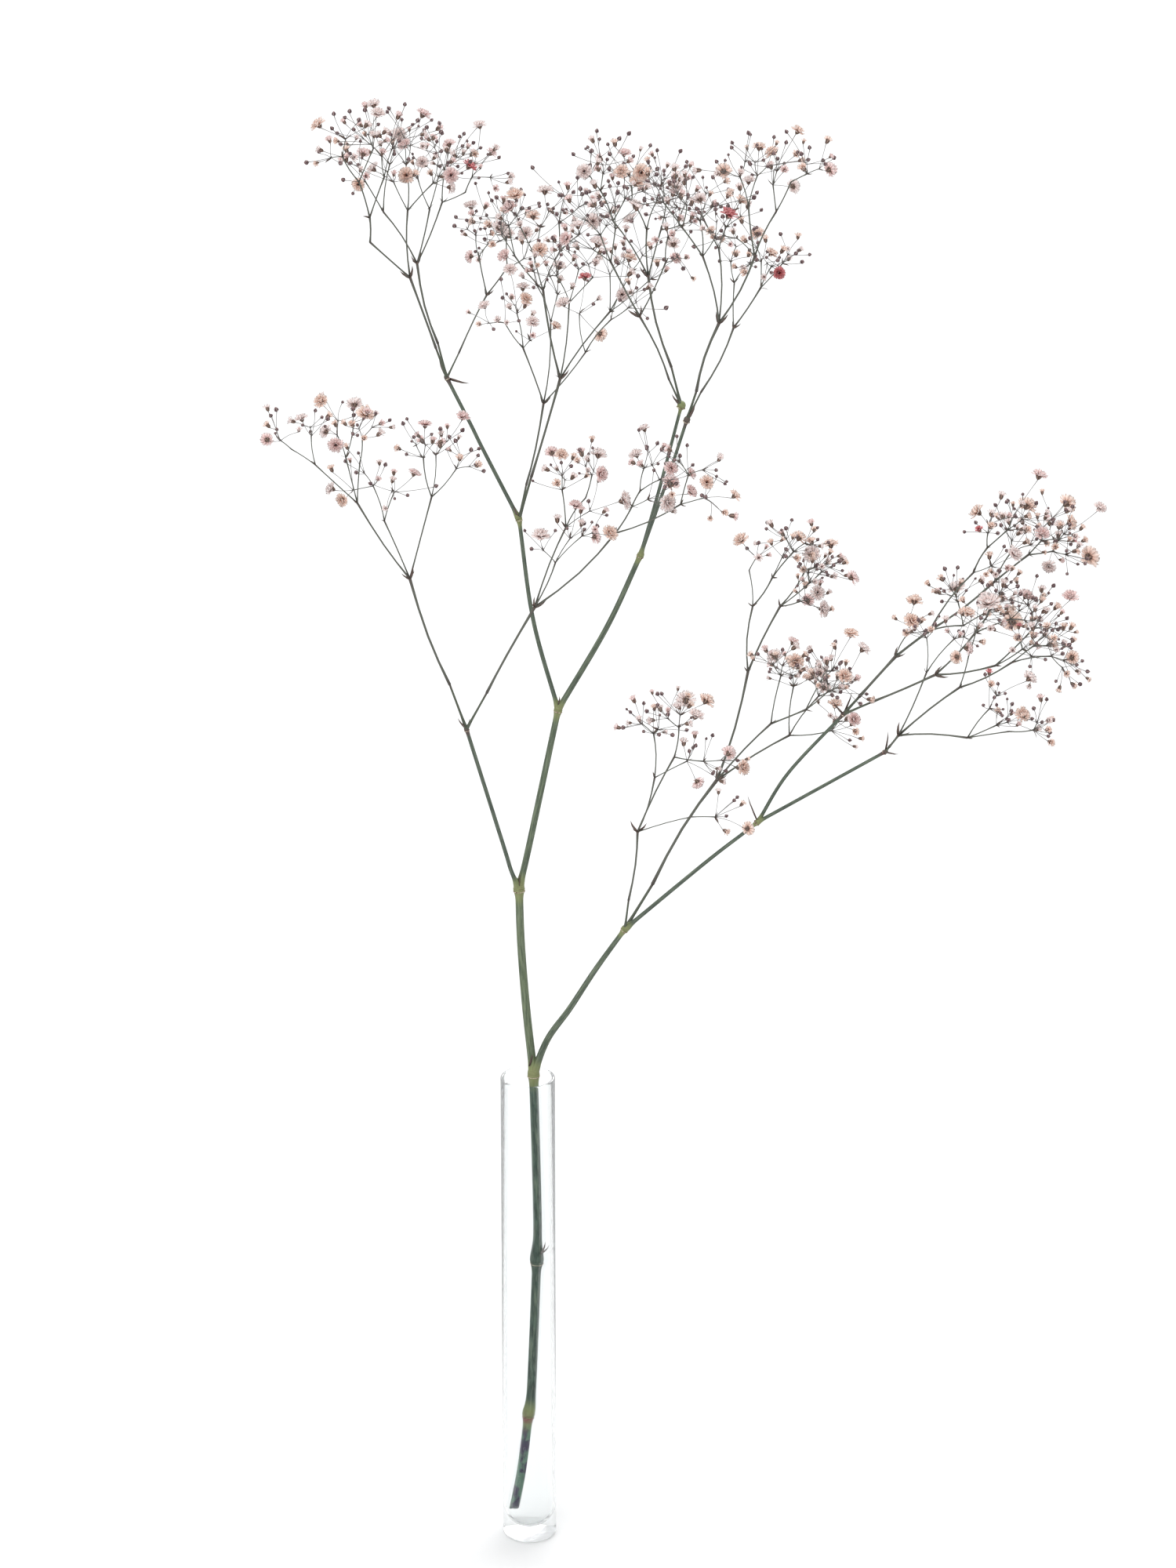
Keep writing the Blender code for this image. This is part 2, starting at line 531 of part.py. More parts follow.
def cymes_of(shape, before=None):
    """Every cyme of a spray, with its heart: the pixel half of its reach beyond its end."""
    if "twigs" in shape:
        return [tip for twig in shape["twigs"] for tip in cymes_of(twig, shape["pixel"])]
    u, v = shape["pixel"]
    run = math.dist(shape["pixel"], before)
    ahead = 0.5 * shape["reach"] * MM / PIXEL
    shape["heart"] = (u + (u - before[0]) / run * ahead, v + (v - before[1]) / run * ahead - 0.2 * ahead)
    return [shape]


def fill_forks(shape, start, radius, room):
    """Fills the room that the spray's forks take, before any bloom is placed."""
    end = spot(*shape["pixel"], shape["depth"])
    room.fill(start, end, radius)
    for twig in shape.get("twigs", ()):
        fill_forks(twig, end, TWIG_RADIUS, room)


def grow_spray(shape, start, radius, room, draw, placed):
    """The spray's twigs, from its first stretch to its blooms."""
    twig = Twig(spot(*shape["pixel"], shape["depth"]), radius)
    if "twigs" in shape:
        twig.kids = [grow_spray(kid, twig.end, TWIG_RADIUS, room, draw, placed) for kid in shape["twigs"]]
        twig.kids = [kid for kid in twig.kids if kid.kids]
        if len(twig.kids) == 2:
            twig.bract = bract_tip(start, twig, room)
    else:
        twig.kids = branch_out(twig.end, start - twig.end, placed[shape["pixel"]], TWIG_RADIUS, room, draw)
    return twig


def bract_tip(start, twig, room):
    """Where the small bract beside a fork points: away from both kids, if there is room for it."""
    axis = (twig.end - start).normalized()
    ways = [(kid.end - twig.end).normalized() for kid in twig.kids]
    off = ways[0].cross(ways[1]).normalized()
    if off.y > 0:
        off = -off
    reach = (axis * 0.8 + off * 0.6).normalized() * BRACT_LENGTH
    if room.clearance(twig.end + reach * 0.4, twig.end + reach, PEDICEL_RADIUS) < PEDICEL_GAP:
        return None
    room.fill(twig.end + reach * 0.4, twig.end + reach, PEDICEL_RADIUS)
    return twig.end + reach


def place_all_blooms(shape, start, room, draw, placed):
    end = spot(*shape["pixel"], shape["depth"])
    if "twigs" in shape:
        for kid in shape["twigs"]:
            place_all_blooms(kid, end, room, draw, placed)
    else:
        placed[shape["pixel"]] = place_blooms(shape, start, room, draw)


def joint_place(name):
    u, v, depth, _ = JOINTS[name]
    return spot(u, v, depth)


def stalk_end(name):
    """Where the main stem's stalk for this spray ends, and its direction."""
    joint, shape = SPRAYS[name]
    start = joint_place(joint)
    first = spot(*shape["pixel"], shape["depth"])
    return start.lerp(first, STALK_SHARE), (first - start).normalized()


def grow_all():
    """Every spray as a twig with its kids, all grown clear of each other."""
    room = Room()
    draw = random.Random(SEED)
    for low, high, first_radius, last_radius, bends in LENGTHS:
        points = [joint_place(low)] + [spot(*bend) for bend in bends] + [joint_place(high)]
        for start, end in zip(points, points[1:]):
            room.fill(start, end, max(first_radius, last_radius) * MM)
    for joint, (u, v, depth), width in BRACTS:
        room.fill(joint_place(joint), spot(u, v, depth), width * MM)
    cymes = [tip for _, shape in SPRAYS.values() for tip in cymes_of(shape)]
    share_out_open_flowers(cymes)
    for joint, shape in SPRAYS.values():
        fill_forks(shape, joint_place(joint), SPRAY_RADIUS, room)
    placed = {}
    for joint, shape in SPRAYS.values():
        place_all_blooms(shape, joint_place(joint), room, draw, placed)
    return {
        name: grow_spray(shape, joint_place(joint), SPRAY_RADIUS, room, draw, placed)
        for name, (joint, shape) in SPRAYS.items()
    }


def ring(bm, centre, axis, radii, heights=(0,), turn=0.0):
    """A closed ring of vertices round the axis. The radii and heights repeat round it."""
    frame = axis.to_track_quat("Z", "Y")
    vertices = []
    for i in range(len(radii)):
        angle = turn + math.tau * i / len(radii)
        height = heights[i % len(heights)]
        local = Vector((radii[i] * math.cos(angle), radii[i] * math.sin(angle), height))
        vertices.append(bm.verts.new(centre + frame @ local))
    return vertices


def turned(vertices, axis):
    """The vertices with their angles round the axis, counted up from the lowest."""
    centre = sum((vertex.co for vertex in vertices), Vector()) / len(vertices)
    frame = axis.to_track_quat("Z", "Y").inverted()
    pairs = []
    for vertex in vertices:
        local = frame @ (vertex.co - centre)
        pairs.append((math.atan2(local.y, local.x), vertex))
    return sorted(pairs, key=lambda pair: pair[0])


def loft(bm, lower, upper, axis):
    """Triangles between two closed rings of any number of vertices each."""
    low = turned(lower, axis)
    high = turned(upper, axis)
    gaps = [abs(math.remainder(angle - low[0][0], math.tau)) for angle, _ in high]
    first = gaps.index(min(gaps))
    shift = math.remainder(high[first][0] - low[0][0], math.tau) + low[0][0] - high[first][0]
    high = [(angle + shift + math.tau * (i < first), v) for i, (angle, v) in enumerate(high)]
    high = high[first:] + high[:first]
    low.append((low[0][0] + math.tau, low[0][1]))
    high.append((high[0][0] + math.tau, high[0][1]))
    i = j = 0
    while i < len(lower) or j < len(upper):
        low_next = low[i][0] + low[i + 1][0] if i < len(lower) else math.inf
        high_next = high[j][0] + high[j + 1][0] if j < len(upper) else math.inf
        if low_next < high_next:
            bm.faces.new((low[i][1], low[i + 1][1], high[j][1]))
            i += 1
        else:
            bm.faces.new((low[i][1], high[j + 1][1], high[j][1]))
            j += 1


def point_off(bm, rim, tip):
    """Closes a ring with triangles to one point, and returns those triangles."""
    vertex = bm.verts.new(tip)
    return [bm.faces.new((rim[i], rim[(i + 1) % len(rim)], vertex)) for i in range(len(rim))]


def open_flower(bm, stalk, bloom):
    """Five outer petals as a notched star, five inner ones standing up inside it, and the sunk middle."""
    size = bloom.radius
    foot = bloom.foot()
    star = ring(bm, foot, bloom.axis, [size, size * 0.66] * 5, (size * 0.5, size * 0.3))
    inner = ring(bm, foot + bloom.axis * size * 0.82, bloom.axis, [size * 0.56] * 5, turn=math.pi / 5)
    loft(bm, stalk, star, bloom.axis)
    loft(bm, star, inner, bloom.axis)
    point_off(bm, inner, foot + bloom.axis * size * 0.5)


def half_open_flower(bm, stalk, bloom):
    """A calyx cup with three folded petals showing above it."""
    size = bloom.radius
    foot = bloom.foot()
    rim = ring(bm, foot, bloom.axis, [size, size * 0.8] * 3, (size * 1.75, size * 1.05))
    loft(bm, stalk, rim, bloom.axis)
    point_off(bm, rim, foot + bloom.axis * size * 0.9)


def bud(bm, stalk, bloom):
    """A closed drop, pointed at its tip."""
    size = bloom.radius
    foot = bloom.foot()
    belly = ring(bm, foot + bloom.axis * size * 0.9, bloom.axis, [size] * 3)
    loft(bm, stalk, belly, bloom.axis)
    point_off(bm, belly, foot + bloom.axis * size * 2.2)


HEADS = {"open": open_flower, "half_open": half_open_flower, "bud": bud}


def best_turn(ways, axis):
    """The turn of a three-sided fork whose faces look most nearly the ways that the kids grow, and which
    face each kid gets."""
    frame = axis.to_track_quat("Z", "Y").inverted()
    angles = []
    for way in ways:
        local = frame @ way
        angles.append(math.atan2(local.y, local.x))
    best = None
    for step in range(24):
        turn = math.tau / 3 * step / 24
        for first in range(3):
            for order in (1, -1):
                faces = [(first + order * i) % 3 for i in range(len(ways))]
                error = 0
                for angle, face in zip(angles, faces):
                    face_angle = turn + math.tau / 3 * (face + 0.5)
                    error += math.remainder(angle - face_angle, math.tau) ** 2
                if best is None or error < best[0]:
                    best = (error, turn, faces)
    return best[1], best[2]


def grow_mesh(bm, root, start, twig, owners):
    """Lofts the twig on from its root ring, then its bloom or its kids. Owners lists the twig of each face."""
    axis = (twig.end - start).normalized()
    if twig.bloom or not twig.kids:
        stalk = ring(bm, twig.end, axis, [twig.radius] * 3)
        loft(bm, root, stalk, axis)
        if twig.bloom:
            HEADS[twig.bloom.kind](bm, stalk, twig.bloom)
        else:
            bm.faces.new(stalk)
        owners += [twig] * (len(bm.faces) - len(owners))
        return
    ways = [(kid.end - twig.end).normalized() for kid in twig.kids]
    if len(ways) == 1:
        end = ring(bm, twig.end, (axis + ways[0]).normalized(), [twig.radius] * 3)
        loft(bm, root, end, axis)
        owners += [twig] * (len(bm.faces) - len(owners))
        grow_mesh(bm, end, twig.end, twig.kids[0], owners)
        return
    onward = (axis + sum(ways, Vector()) / len(ways) * KID_PULL).normalized()
    turn, faces = best_turn(ways, onward)
    end = ring(bm, twig.end, onward, [twig.radius] * 3, turn=turn)
    loft(bm, root, end, axis)
    tip = bm.verts.new(twig.end + onward * twig.radius * TIP_LIFT)
    sides = [[end[i], end[(i + 1) % 3], tip] for i in range(3)]
    for face in set(range(3)) - set(faces):
        if twig.bract:
            point_off(bm, sides[face], twig.bract)
        else:
            bm.faces.new(sides[face])
    owners += [twig] * (len(bm.faces) - len(owners))
    for kid, face in zip(twig.kids, faces):
        grow_mesh(bm, sides[face], twig.end, kid, owners)


def blooms_on(twig):
    """How much would go with this twig: its blooms, each open one counted as several."""
    if twig.bloom:
        return 5 if twig.bloom.kind == "open" else 1
    return 1 + sum(blooms_on(kid) for kid in twig.kids)


def crossed_twigs(bm, owners, others):
    """For each pair of faces that cross, the twig of the two that carries less, then the twigs that reach
    into another spray."""
    corners = []
    for face in bm.faces:
        middle = face.calc_center_median()
        corners += [middle.lerp(vertex.co, CROSSING_SHRINK) for vertex in face.verts]
    tree = BVHTree.FromPolygons(corners, [(i, i + 1, i + 2) for i in range(0, len(corners), 3)])
    pairs = [(owners[a], owners[b]) for a, b in tree.overlap(tree) if a < b]
    crossed = [min(pair, key=blooms_on) for pair in pairs]
    for other in others:
        crossed += [owners[a] for a, _ in tree.overlap(other)]
    return crossed


def drop(twig, unwanted):
    twig.kids = [kid for kid in twig.kids if kid is not unwanted]
    for kid in twig.kids:
        drop(kid, unwanted)


def grow_clear_mesh(start, axis, twig, others):
    """The spray's skin. A twig whose skin would cross another's is left out, and the skin is made again."""
    while True:
        bm = bmesh.new()
        root = ring(bm, start, axis, [SPRAY_RADIUS] * 3)
        owners = [twig]
        bm.faces.new(root)
        grow_mesh(bm, root, start, twig, owners)
        crossed = crossed_twigs(bm, owners, others)
        if not crossed:
            others.append(BVHTree.FromBMesh(bm))
            return bm
        bm.free()
        drop(twig, crossed[0])


def material(name, colour, roughness, **more):
    made = bpy.data.materials.new(name)
    made.use_nodes = True
    shader = made.node_tree.nodes["Principled BSDF"]
    shader.inputs["Base Color"].default_value = (*colour, 1)
    shader.inputs["Roughness"].default_value = roughness
    shader.inputs["Metallic"].default_value = 0
    for socket, value in more.items():
        shader.inputs[socket.replace("_", " ")].default_value = value
    made.diffuse_color = (*colour, 1)
    return made


def new_object(name, mesh, collection):
    made = bpy.data.objects.new(name, mesh)
    collection.objects.link(made)
    return made


def make_spray(name, twig, others, collection):
    """One spray as one closed skin, from 0.3 mm off its stalk to its blooms."""
    end, axis = stalk_end(name)
    bm = grow_clear_mesh(end + axis * NODE_GAP, axis, twig, others)
    bmesh.ops.recalc_face_normals(bm, faces=bm.faces)
    mesh = bpy.data.meshes.new(name)
    bm.to_mesh(mesh)
    bm.free()
    mesh.materials.append(material(name, (0.72, 0.52, 0.46), 0.8))
    return new_object(name, mesh, collection)


def stem_curve(name, points, radii, thick, collection):
    """A round stem through these points, as a mesh with its caps welded on."""
    curve = bpy.data.curves.new(name, "CURVE")
    curve.dimensions = "3D"
    curve.bevel_depth = 1
    curve.bevel_resolution = 1 if thick else 0
    curve.use_fill_caps = True
    spline = curve.splines.new("POLY")
    spline.points.add(len(points) - 1)
    for place, at, radius in zip(spline.points, points, radii):
        place.co = (*at, 1)
        place.radius = radius
    guide = new_object(name, curve, collection)
    graph = bpy.context.evaluated_depsgraph_get()
    mesh = bpy.data.meshes.new_from_object(guide.evaluated_get(graph))
    bpy.data.objects.remove(guide)
    bm = bmesh.new()
    bm.from_mesh(mesh)
    bmesh.ops.remove_doubles(bm, verts=bm.verts, dist=1e-6)
    bmesh.ops.recalc_face_normals(bm, faces=bm.faces)
    bm.to_mesh(mesh)
    bm.free()
    return new_object(name, mesh, collection)


def length_points(low, high, first_radius, last_radius, bends):
    """The points and radii of one length of the main stem, swollen at the joint that it ends in."""
    places = [joint_place(low)] + [spot(*bend) for bend in bends] + [joint_place(high)]
    points = []
    radii = []
    for i, place in enumerate(places):
        share = i / (len(places) - 1)
        radius = (first_radius + (last_radius - first_radius) * share) * MM
        if i == len(places) - 1:
            swollen = JOINTS[high][3] * MM
            back = (places[-2] - place).normalized()
            beyond, narrowed = SWELLING_TOP
            points += [place + back * swollen * SWELLING_LENGTH, place, place - back * swollen * beyond]
            radii += [radius, swollen, swollen * narrowed]
        else:
            points.append(place)
            radii.append(radius)
    return points, radii


def bract_mesh(name, joint, tip, width, collection):
    """A lance-shaped bract: a thin four-sided blade that widens off the joint and hooks up to its point."""
    start = joint_place(joint)
    end = spot(*tip)
    run = end - start
    axis = run.normalized()
    sideways = axis.cross(Vector((0, 1, 0))).normalized()
    bm = bmesh.new()
    rings = []
    for share, wide, out in BRACT_OUTLINE:
        middle = start + run * share + sideways * run.length * out * (1 if run.x > 0 else -1)
        flat = [
            middle + Vector((0, 1, 0)) * width * wide * MM,
            middle + sideways * BRACT_THICKNESS / 2,
            middle - Vector((0, 1, 0)) * width * wide * MM,
            middle - sideways * BRACT_THICKNESS / 2,
        ]
        rings.append([bm.verts.new(place) for place in flat])
    bm.faces.new(rings[0])
    for lower, upper in zip(rings, rings[1:]):
        for i in range(4):
            bm.faces.new((lower[i], lower[(i + 1) % 4], upper[(i + 1) % 4], upper[i]))
    point_off(bm, rings[-1], end)
    bmesh.ops.recalc_face_normals(bm, faces=bm.faces)
    mesh = bpy.data.meshes.new(name)
    bm.to_mesh(mesh)
    bm.free()
    return new_object(name, mesh, collection)


def make_main_stem(collection):
    """The thick stem, its arms, the stalks of the sprays and the large bracts, fused in one body."""
    pieces = bpy.data.collections.new("stem pieces")
    bpy.context.scene.collection.children.link(pieces)
    for low, high, *rest in LENGTHS[1:]:
        points, radii = length_points(low, high, *rest)
        stem_curve(f"{low} to {high}", points, radii, radii[0] > THICK_STEM, pieces)
    for name, (joint, _) in SPRAYS.items():
        end, _ = stalk_end(name)
        stem_curve(f"{name} stalk", [joint_place(joint), end], [SPRAY_RADIUS * 1.3, SPRAY_RADIUS], False, pieces)
    for i, (joint, tip, width) in enumerate(BRACTS):
        bract_mesh(f"bract {i}", joint, tip, width, pieces)
    points, radii = length_points(*LENGTHS[0])
    stem = stem_curve("main_stem", points, radii, True, collection)
    fuse = stem.modifiers.new("fuse", "BOOLEAN")
    fuse.operation = "UNION"
    fuse.operand_type = "COLLECTION"
    fuse.collection = pieces
    fuse.solver = "MANIFOLD"
    graph = bpy.context.evaluated_depsgraph_get()
    fused = bpy.data.meshes.new_from_object(stem.evaluated_get(graph))
    stem.modifiers.clear()
    stem.data = fused
    for piece in list(pieces.objects):
        bpy.data.objects.remove(piece)
    bpy.data.collections.remove(pieces)
    fused.materials.clear()
    fused.materials.append(material("stem", (0.20, 0.24, 0.12), 0.6))
    fused.shade_smooth()
    fused.set_sharp_from_angle(angle=math.radians(50))
    return stem


def make_glass_tube(collection):
    """A turned tube: flat foot, rounded corner, straight wall, rounded rim and a round inner bottom."""
    inner = TUBE_RADIUS - TUBE_WALL
    corner = TUBE_RADIUS - FOOT_FLAT_RADIUS
    profile = [(0, FOOT_THICKNESS)]
    for i in range(1, BOTTOM_ARC_STEPS + 1):
        angle = math.pi / 2 * i / BOTTOM_ARC_STEPS
        profile.append((inner * math.sin(angle), FOOT_THICKNESS + inner * (1 - math.cos(angle))))
    rim = TUBE_WALL / 2
    for i in range(CORNER_ARC_STEPS + 1):
        angle = math.pi * i / CORNER_ARC_STEPS
        profile.append((inner + rim - rim * math.cos(angle), TUBE_HEIGHT - rim + rim * math.sin(angle)))
    for i in range(CORNER_ARC_STEPS + 1):
        angle = math.pi / 2 * i / CORNER_ARC_STEPS
        profile.append((FOOT_FLAT_RADIUS + corner * math.cos(angle), corner * (1 - math.sin(angle))))
    profile.append((0, 0))
    mesh = bpy.data.meshes.new("glass_tube")
    edges = [(i, i + 1) for i in range(len(profile) - 1)]
    mesh.from_pydata([(x, 0, z) for x, z in profile], edges, [])
    tube = new_object("glass_tube", mesh, collection)
    screw = tube.modifiers.new("turn", "SCREW")
    screw.steps = TUBE_SIDES
    screw.render_steps = TUBE_SIDES
    screw.use_merge_vertices = True
    screw.merge_threshold = 1e-6
    mesh.materials.append(material("clear glass", (0.95, 0.97, 0.97), 0.03, Transmission_Weight=1.0, IOR=1.5))
    return tube


def main():
    for old in list(bpy.data.objects):
        bpy.data.objects.remove(old)
    collection = bpy.data.collections.new("gypsophila_stem")
    bpy.context.scene.collection.children.link(collection)
    make_glass_tube(collection)
    make_main_stem(collection)
    others = []
    for name, twig in grow_all().items():
        make_spray(name, twig, others, collection)


main()
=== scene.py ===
import math
import random

import bmesh
import bpy
import numpy as np
from mathutils import Matrix, Quaternion, Vector


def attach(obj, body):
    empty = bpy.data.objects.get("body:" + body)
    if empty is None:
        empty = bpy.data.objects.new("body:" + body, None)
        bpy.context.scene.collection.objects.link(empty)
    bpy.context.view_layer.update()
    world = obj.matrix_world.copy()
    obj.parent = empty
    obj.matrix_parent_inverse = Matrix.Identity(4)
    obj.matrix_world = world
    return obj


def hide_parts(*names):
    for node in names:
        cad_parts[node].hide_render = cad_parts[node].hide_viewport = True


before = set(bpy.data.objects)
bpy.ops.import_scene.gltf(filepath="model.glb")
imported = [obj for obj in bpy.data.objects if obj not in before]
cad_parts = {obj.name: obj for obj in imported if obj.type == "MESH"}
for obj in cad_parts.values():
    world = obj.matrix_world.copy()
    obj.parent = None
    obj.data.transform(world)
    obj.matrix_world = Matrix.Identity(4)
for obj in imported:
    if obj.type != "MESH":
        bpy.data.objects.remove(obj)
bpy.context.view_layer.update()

# Camera. The picture looks down on the stem from in front through a long lens. Its pixels are also the guide
# to where every joint and flower stands, so a place is given as a pixel and a depth behind the tube's axis.
MM = 0.001
PICTURE_SIZE = (1500, 2000)
SENSOR = 36
FOCAL_PIXELS = 7000
VIEW_PITCH = math.radians(21.5)
VIEW_LIMIT = 100
FOOT_DISTANCE = 2.695
FOOT_PIXEL = (675.7, 1953)
VIEW_FORWARD = Vector((0, math.cos(VIEW_PITCH), -math.sin(VIEW_PITCH)))
VIEW_UP = Vector((0, math.sin(VIEW_PITCH), math.cos(VIEW_PITCH)))
VIEW_RIGHT = Vector((1, 0, 0))
PIXEL = FOOT_DISTANCE / FOCAL_PIXELS


def sight_line(u, v):
    """The direction in which the picture shows the pixel (u, v)."""
    right = VIEW_RIGHT * (u - PICTURE_SIZE[0] / 2)
    up = VIEW_UP * (PICTURE_SIZE[1] / 2 - v)
    return VIEW_FORWARD * FOCAL_PIXELS + right + up


VIEW_POINT = -sight_line(*FOOT_PIXEL) * PIXEL


def spot(u, v, depth):
    """The point seen at the pixel (u, v), depth millimetres behind the upright plane through the tube."""
    line = sight_line(u, v)
    return VIEW_POINT + line * ((depth * MM - VIEW_POINT.y) / line.y)


bpy.ops.object.camera_add(location=VIEW_POINT, rotation=(math.pi / 2 - VIEW_PITCH, 0, 0))
camera = bpy.context.object
camera.data.sensor_width = SENSOR
camera.data.lens = FOCAL_PIXELS * SENSOR / PICTURE_SIZE[1]
camera.data.clip_end = VIEW_LIMIT
bpy.context.scene.camera = camera
bpy.context.scene.view_settings.view_transform = "Standard"

# Floor and light. A bright pale floor and an even pale sky, with one wide soft lamp behind the stem, so that
# light comes through the petals, and a weaker one in front.
FLOOR_SIZE = 60
FLOOR_DROP = 0.2 * MM
FLOOR_GREY = (0.64, 0.64, 0.64, 1)
FLOOR_ROUGHNESS = 0.9
SKY_TONE = (0.86, 0.87, 0.88, 1)
SKY_STRENGTH = 0.95
# Each lamp: its name, the azimuth from the front and elevation that it shines from, its strength and softness
LAMPS = [("back lamp", 160, 52, 2.2, 60), ("front lamp", -30, 48, 1.6, 60)]

bpy.ops.mesh.primitive_plane_add(size=FLOOR_SIZE, location=(0, 0, -FLOOR_DROP))
floor = bpy.context.object
floor.name = "floor"
floor_paint = bpy.data.materials.new("pale floor")
floor_paint.use_nodes = True
floor_shader = floor_paint.node_tree.nodes["Principled BSDF"]
floor_shader.inputs["Base Color"].default_value = FLOOR_GREY
floor_shader.inputs["Roughness"].default_value = FLOOR_ROUGHNESS
floor.data.materials.append(floor_paint)

world = bpy.data.worlds.new("pale sky")
world.use_nodes = True
sky = world.node_tree.nodes["Background"]
sky.inputs["Color"].default_value = SKY_TONE
sky.inputs["Strength"].default_value = SKY_STRENGTH
bpy.context.scene.world = world

for name, azimuth, elevation, strength, softness in LAMPS:
    turn = (math.radians(90 - elevation), 0, math.radians(azimuth))
    bpy.ops.object.light_add(type="SUN", rotation=turn)
    lamp = bpy.context.object
    lamp.name = name
    lamp.data.energy = strength
    lamp.data.angle = math.radians(softness)


# Glass tube. A slim straight tube of clear glass, open at the top, with a fire-polished rim, a round inner
# bottom and a heavy flat foot. It is one piece of glass, so the wall is drawn down out of the top of one
# solid cylinder.
TUBE_HEIGHT = 245 * MM
TUBE_RADIUS = 13 * MM
TUBE_WALL = 1.6 * MM
TUBE_SIDES = 96
FOOT_THICKNESS = 5 * MM
BOTTOM_ROUNDING = (TUBE_RADIUS - TUBE_WALL) * 0.96
# Its rounded edges: their height, how far back the rounding starts, and its steps
ROUNDED_EDGES = [(FOOT_THICKNESS, BOTTOM_ROUNDING, 14), (0, 2.4 * MM, 6), (TUBE_HEIGHT, 0.72 * MM, 4)]
SMOOTH_ANGLE = math.radians(40)
SAME_PLACE = 0.01 * MM
GLASS_TINT = (0.96, 0.975, 0.975)
GLASS_REFRACTION = 1.14
GLASS_BODY = 0.9


def pick(piece, kind, wanted):
    """In edit mode, selects only those vertices, edges or faces whose corners are all at a wanted place."""
    bpy.ops.mesh.select_all(action="DESELECT")
    bm = bmesh.from_edit_mesh(piece.data)
    for part in getattr(bm, kind):
        corners = [part] if kind == "verts" else part.verts
        if all(wanted(corner.co) for corner in corners):
            part.select_set(True)
    bmesh.update_edit_mesh(piece.data)


def begin(kind, name, **settings):
    """Adds a mesh primitive with nothing else selected, applies its place and opens it in edit mode."""
    bpy.ops.object.select_all(action="DESELECT")
    getattr(bpy.ops.mesh, f"primitive_{kind}_add")(**settings)
    piece = bpy.context.object
    piece.name = name
    bpy.ops.object.transform_apply(location=True, rotation=True, scale=True)
    bpy.ops.object.mode_set(mode="EDIT")
    bpy.ops.mesh.select_all(action="SELECT")
    return piece


class Wire:
    """A node's output. Sums, differences, products and remainders of wires and numbers become Math nodes."""

    def __init__(self, paint, socket):
        self.paint = paint
        self.socket = socket

    def maths(self, operation, *values):
        return self.paint.node("Math", {"operation": operation}, dict(enumerate(values)))

    def __add__(self, other):
        return self.maths("ADD", self, other)

    def __sub__(self, other):
        return self.maths("SUBTRACT", self, other)

    def __rsub__(self, other):
        return self.maths("SUBTRACT", other, self)

    def __mul__(self, other):
        return self.maths("MULTIPLY", self, other)

    def __abs__(self):
        return self.maths("ABSOLUTE", self)

    def __mod__(self, other):
        return self.maths("FLOORED_MODULO", self, other)

    def __floordiv__(self, other):
        return self.maths("FLOOR", self.maths("DIVIDE", self, other))

    __radd__ = __add__
    __rmul__ = __mul__

    def between(self, low, high):
        """0 up to low, 1 from high, and a smooth step in between. It falls where low is above high."""
        settings = {"interpolation_type": "SMOOTHSTEP"}
        return self.paint.node("MapRange", settings, {"Value": self, "From Min": low, "From Max": high})


class Paint:
    """A material with one Principled shader, and the nodes that are written for it."""

    def __init__(self, name, roughness, **fixed):
        self.material = bpy.data.materials.new(name)
        self.material.use_nodes = True
        self.tree = self.material.node_tree
        self.shader = self.tree.nodes["Principled BSDF"]
        self.body = Wire(self, self.shader.outputs[0])
        self.feed(self.shader.inputs["Roughness"], roughness)
        for socket, value in fixed.items():
            self.feed(self.shader.inputs[socket.replace("_", " ")], value)

    def feed(self, socket, value):
        """Sets a socket to a number, vector or colour, or links a wire to it."""
        if isinstance(value, Wire):
            self.tree.links.new(value.socket, socket)
        elif isinstance(value, tuple) and len(value) == 3 and socket.type == "RGBA":
            socket.default_value = (*value, 1)
        else:
            socket.default_value = value

    def node(self, kind, settings, sockets, output=0):
        """A shader node with its settings, then its sockets' values or wires, by name or number."""
        made = self.tree.nodes.new(f"ShaderNode{kind}")
        for setting, value in settings.items():
            setattr(made, setting, value)
        for socket, value in sockets.items():
            self.feed(made.inputs[socket], value)
        return Wire(self, made.outputs[output])

    def place(self):
        return self.node("TexCoord", {}, {}, "Object")

    def attribute(self, name):
        return self.node("Attribute", {"attribute_name": name}, {}, "Fac")

    def split(self, vector):
        """The three parts of a vector."""
        first = self.node("SeparateXYZ", {}, {"Vector": vector})
        return [Wire(self, part) for part in first.socket.node.outputs]

    def noise(self, where, scale, detail=3.0, stretch=(1, 1, 1)):
        """Noise of about scale blotches to a unit, in a space whose axes are first scaled by stretch."""
        stretched = self.node("Mapping", {}, {"Vector": where, "Scale": stretch})
        return self.node("TexNoise", {}, {"Vector": stretched, "Scale": scale, "Detail": detail})

    def mix(self, factor, first, second):
        """The first colour where the factor is 0, and the second where it is 1."""
        return self.node("Mix", {"data_type": "RGBA"}, {"Factor": factor, 6: first, 7: second}, 2)

    def colour(self, ground, *coats):
        """Lays coats on the ground colour, each a mask and the colour that it shows, for the Base Color."""
        for mask, tone in coats:
            ground = self.mix(mask, ground, tone)
        self.feed(self.shader.inputs["Base Color"], ground)

    def bump(self, height, distance, strength=1.0):
        sockets = {"Height": height, "Distance": distance, "Strength": strength}
        self.feed(self.shader.inputs["Normal"], self.node("Bump", {}, sockets))

    def blend_shaders(self, factor, first, second):
        """Shows the first shader where the factor is 0, and the second where it is 1."""
        both = self.node("MixShader", {}, {"Fac": factor, 1: first, 2: second})
        self.feed(self.tree.nodes["Material Output"].inputs["Surface"], both)


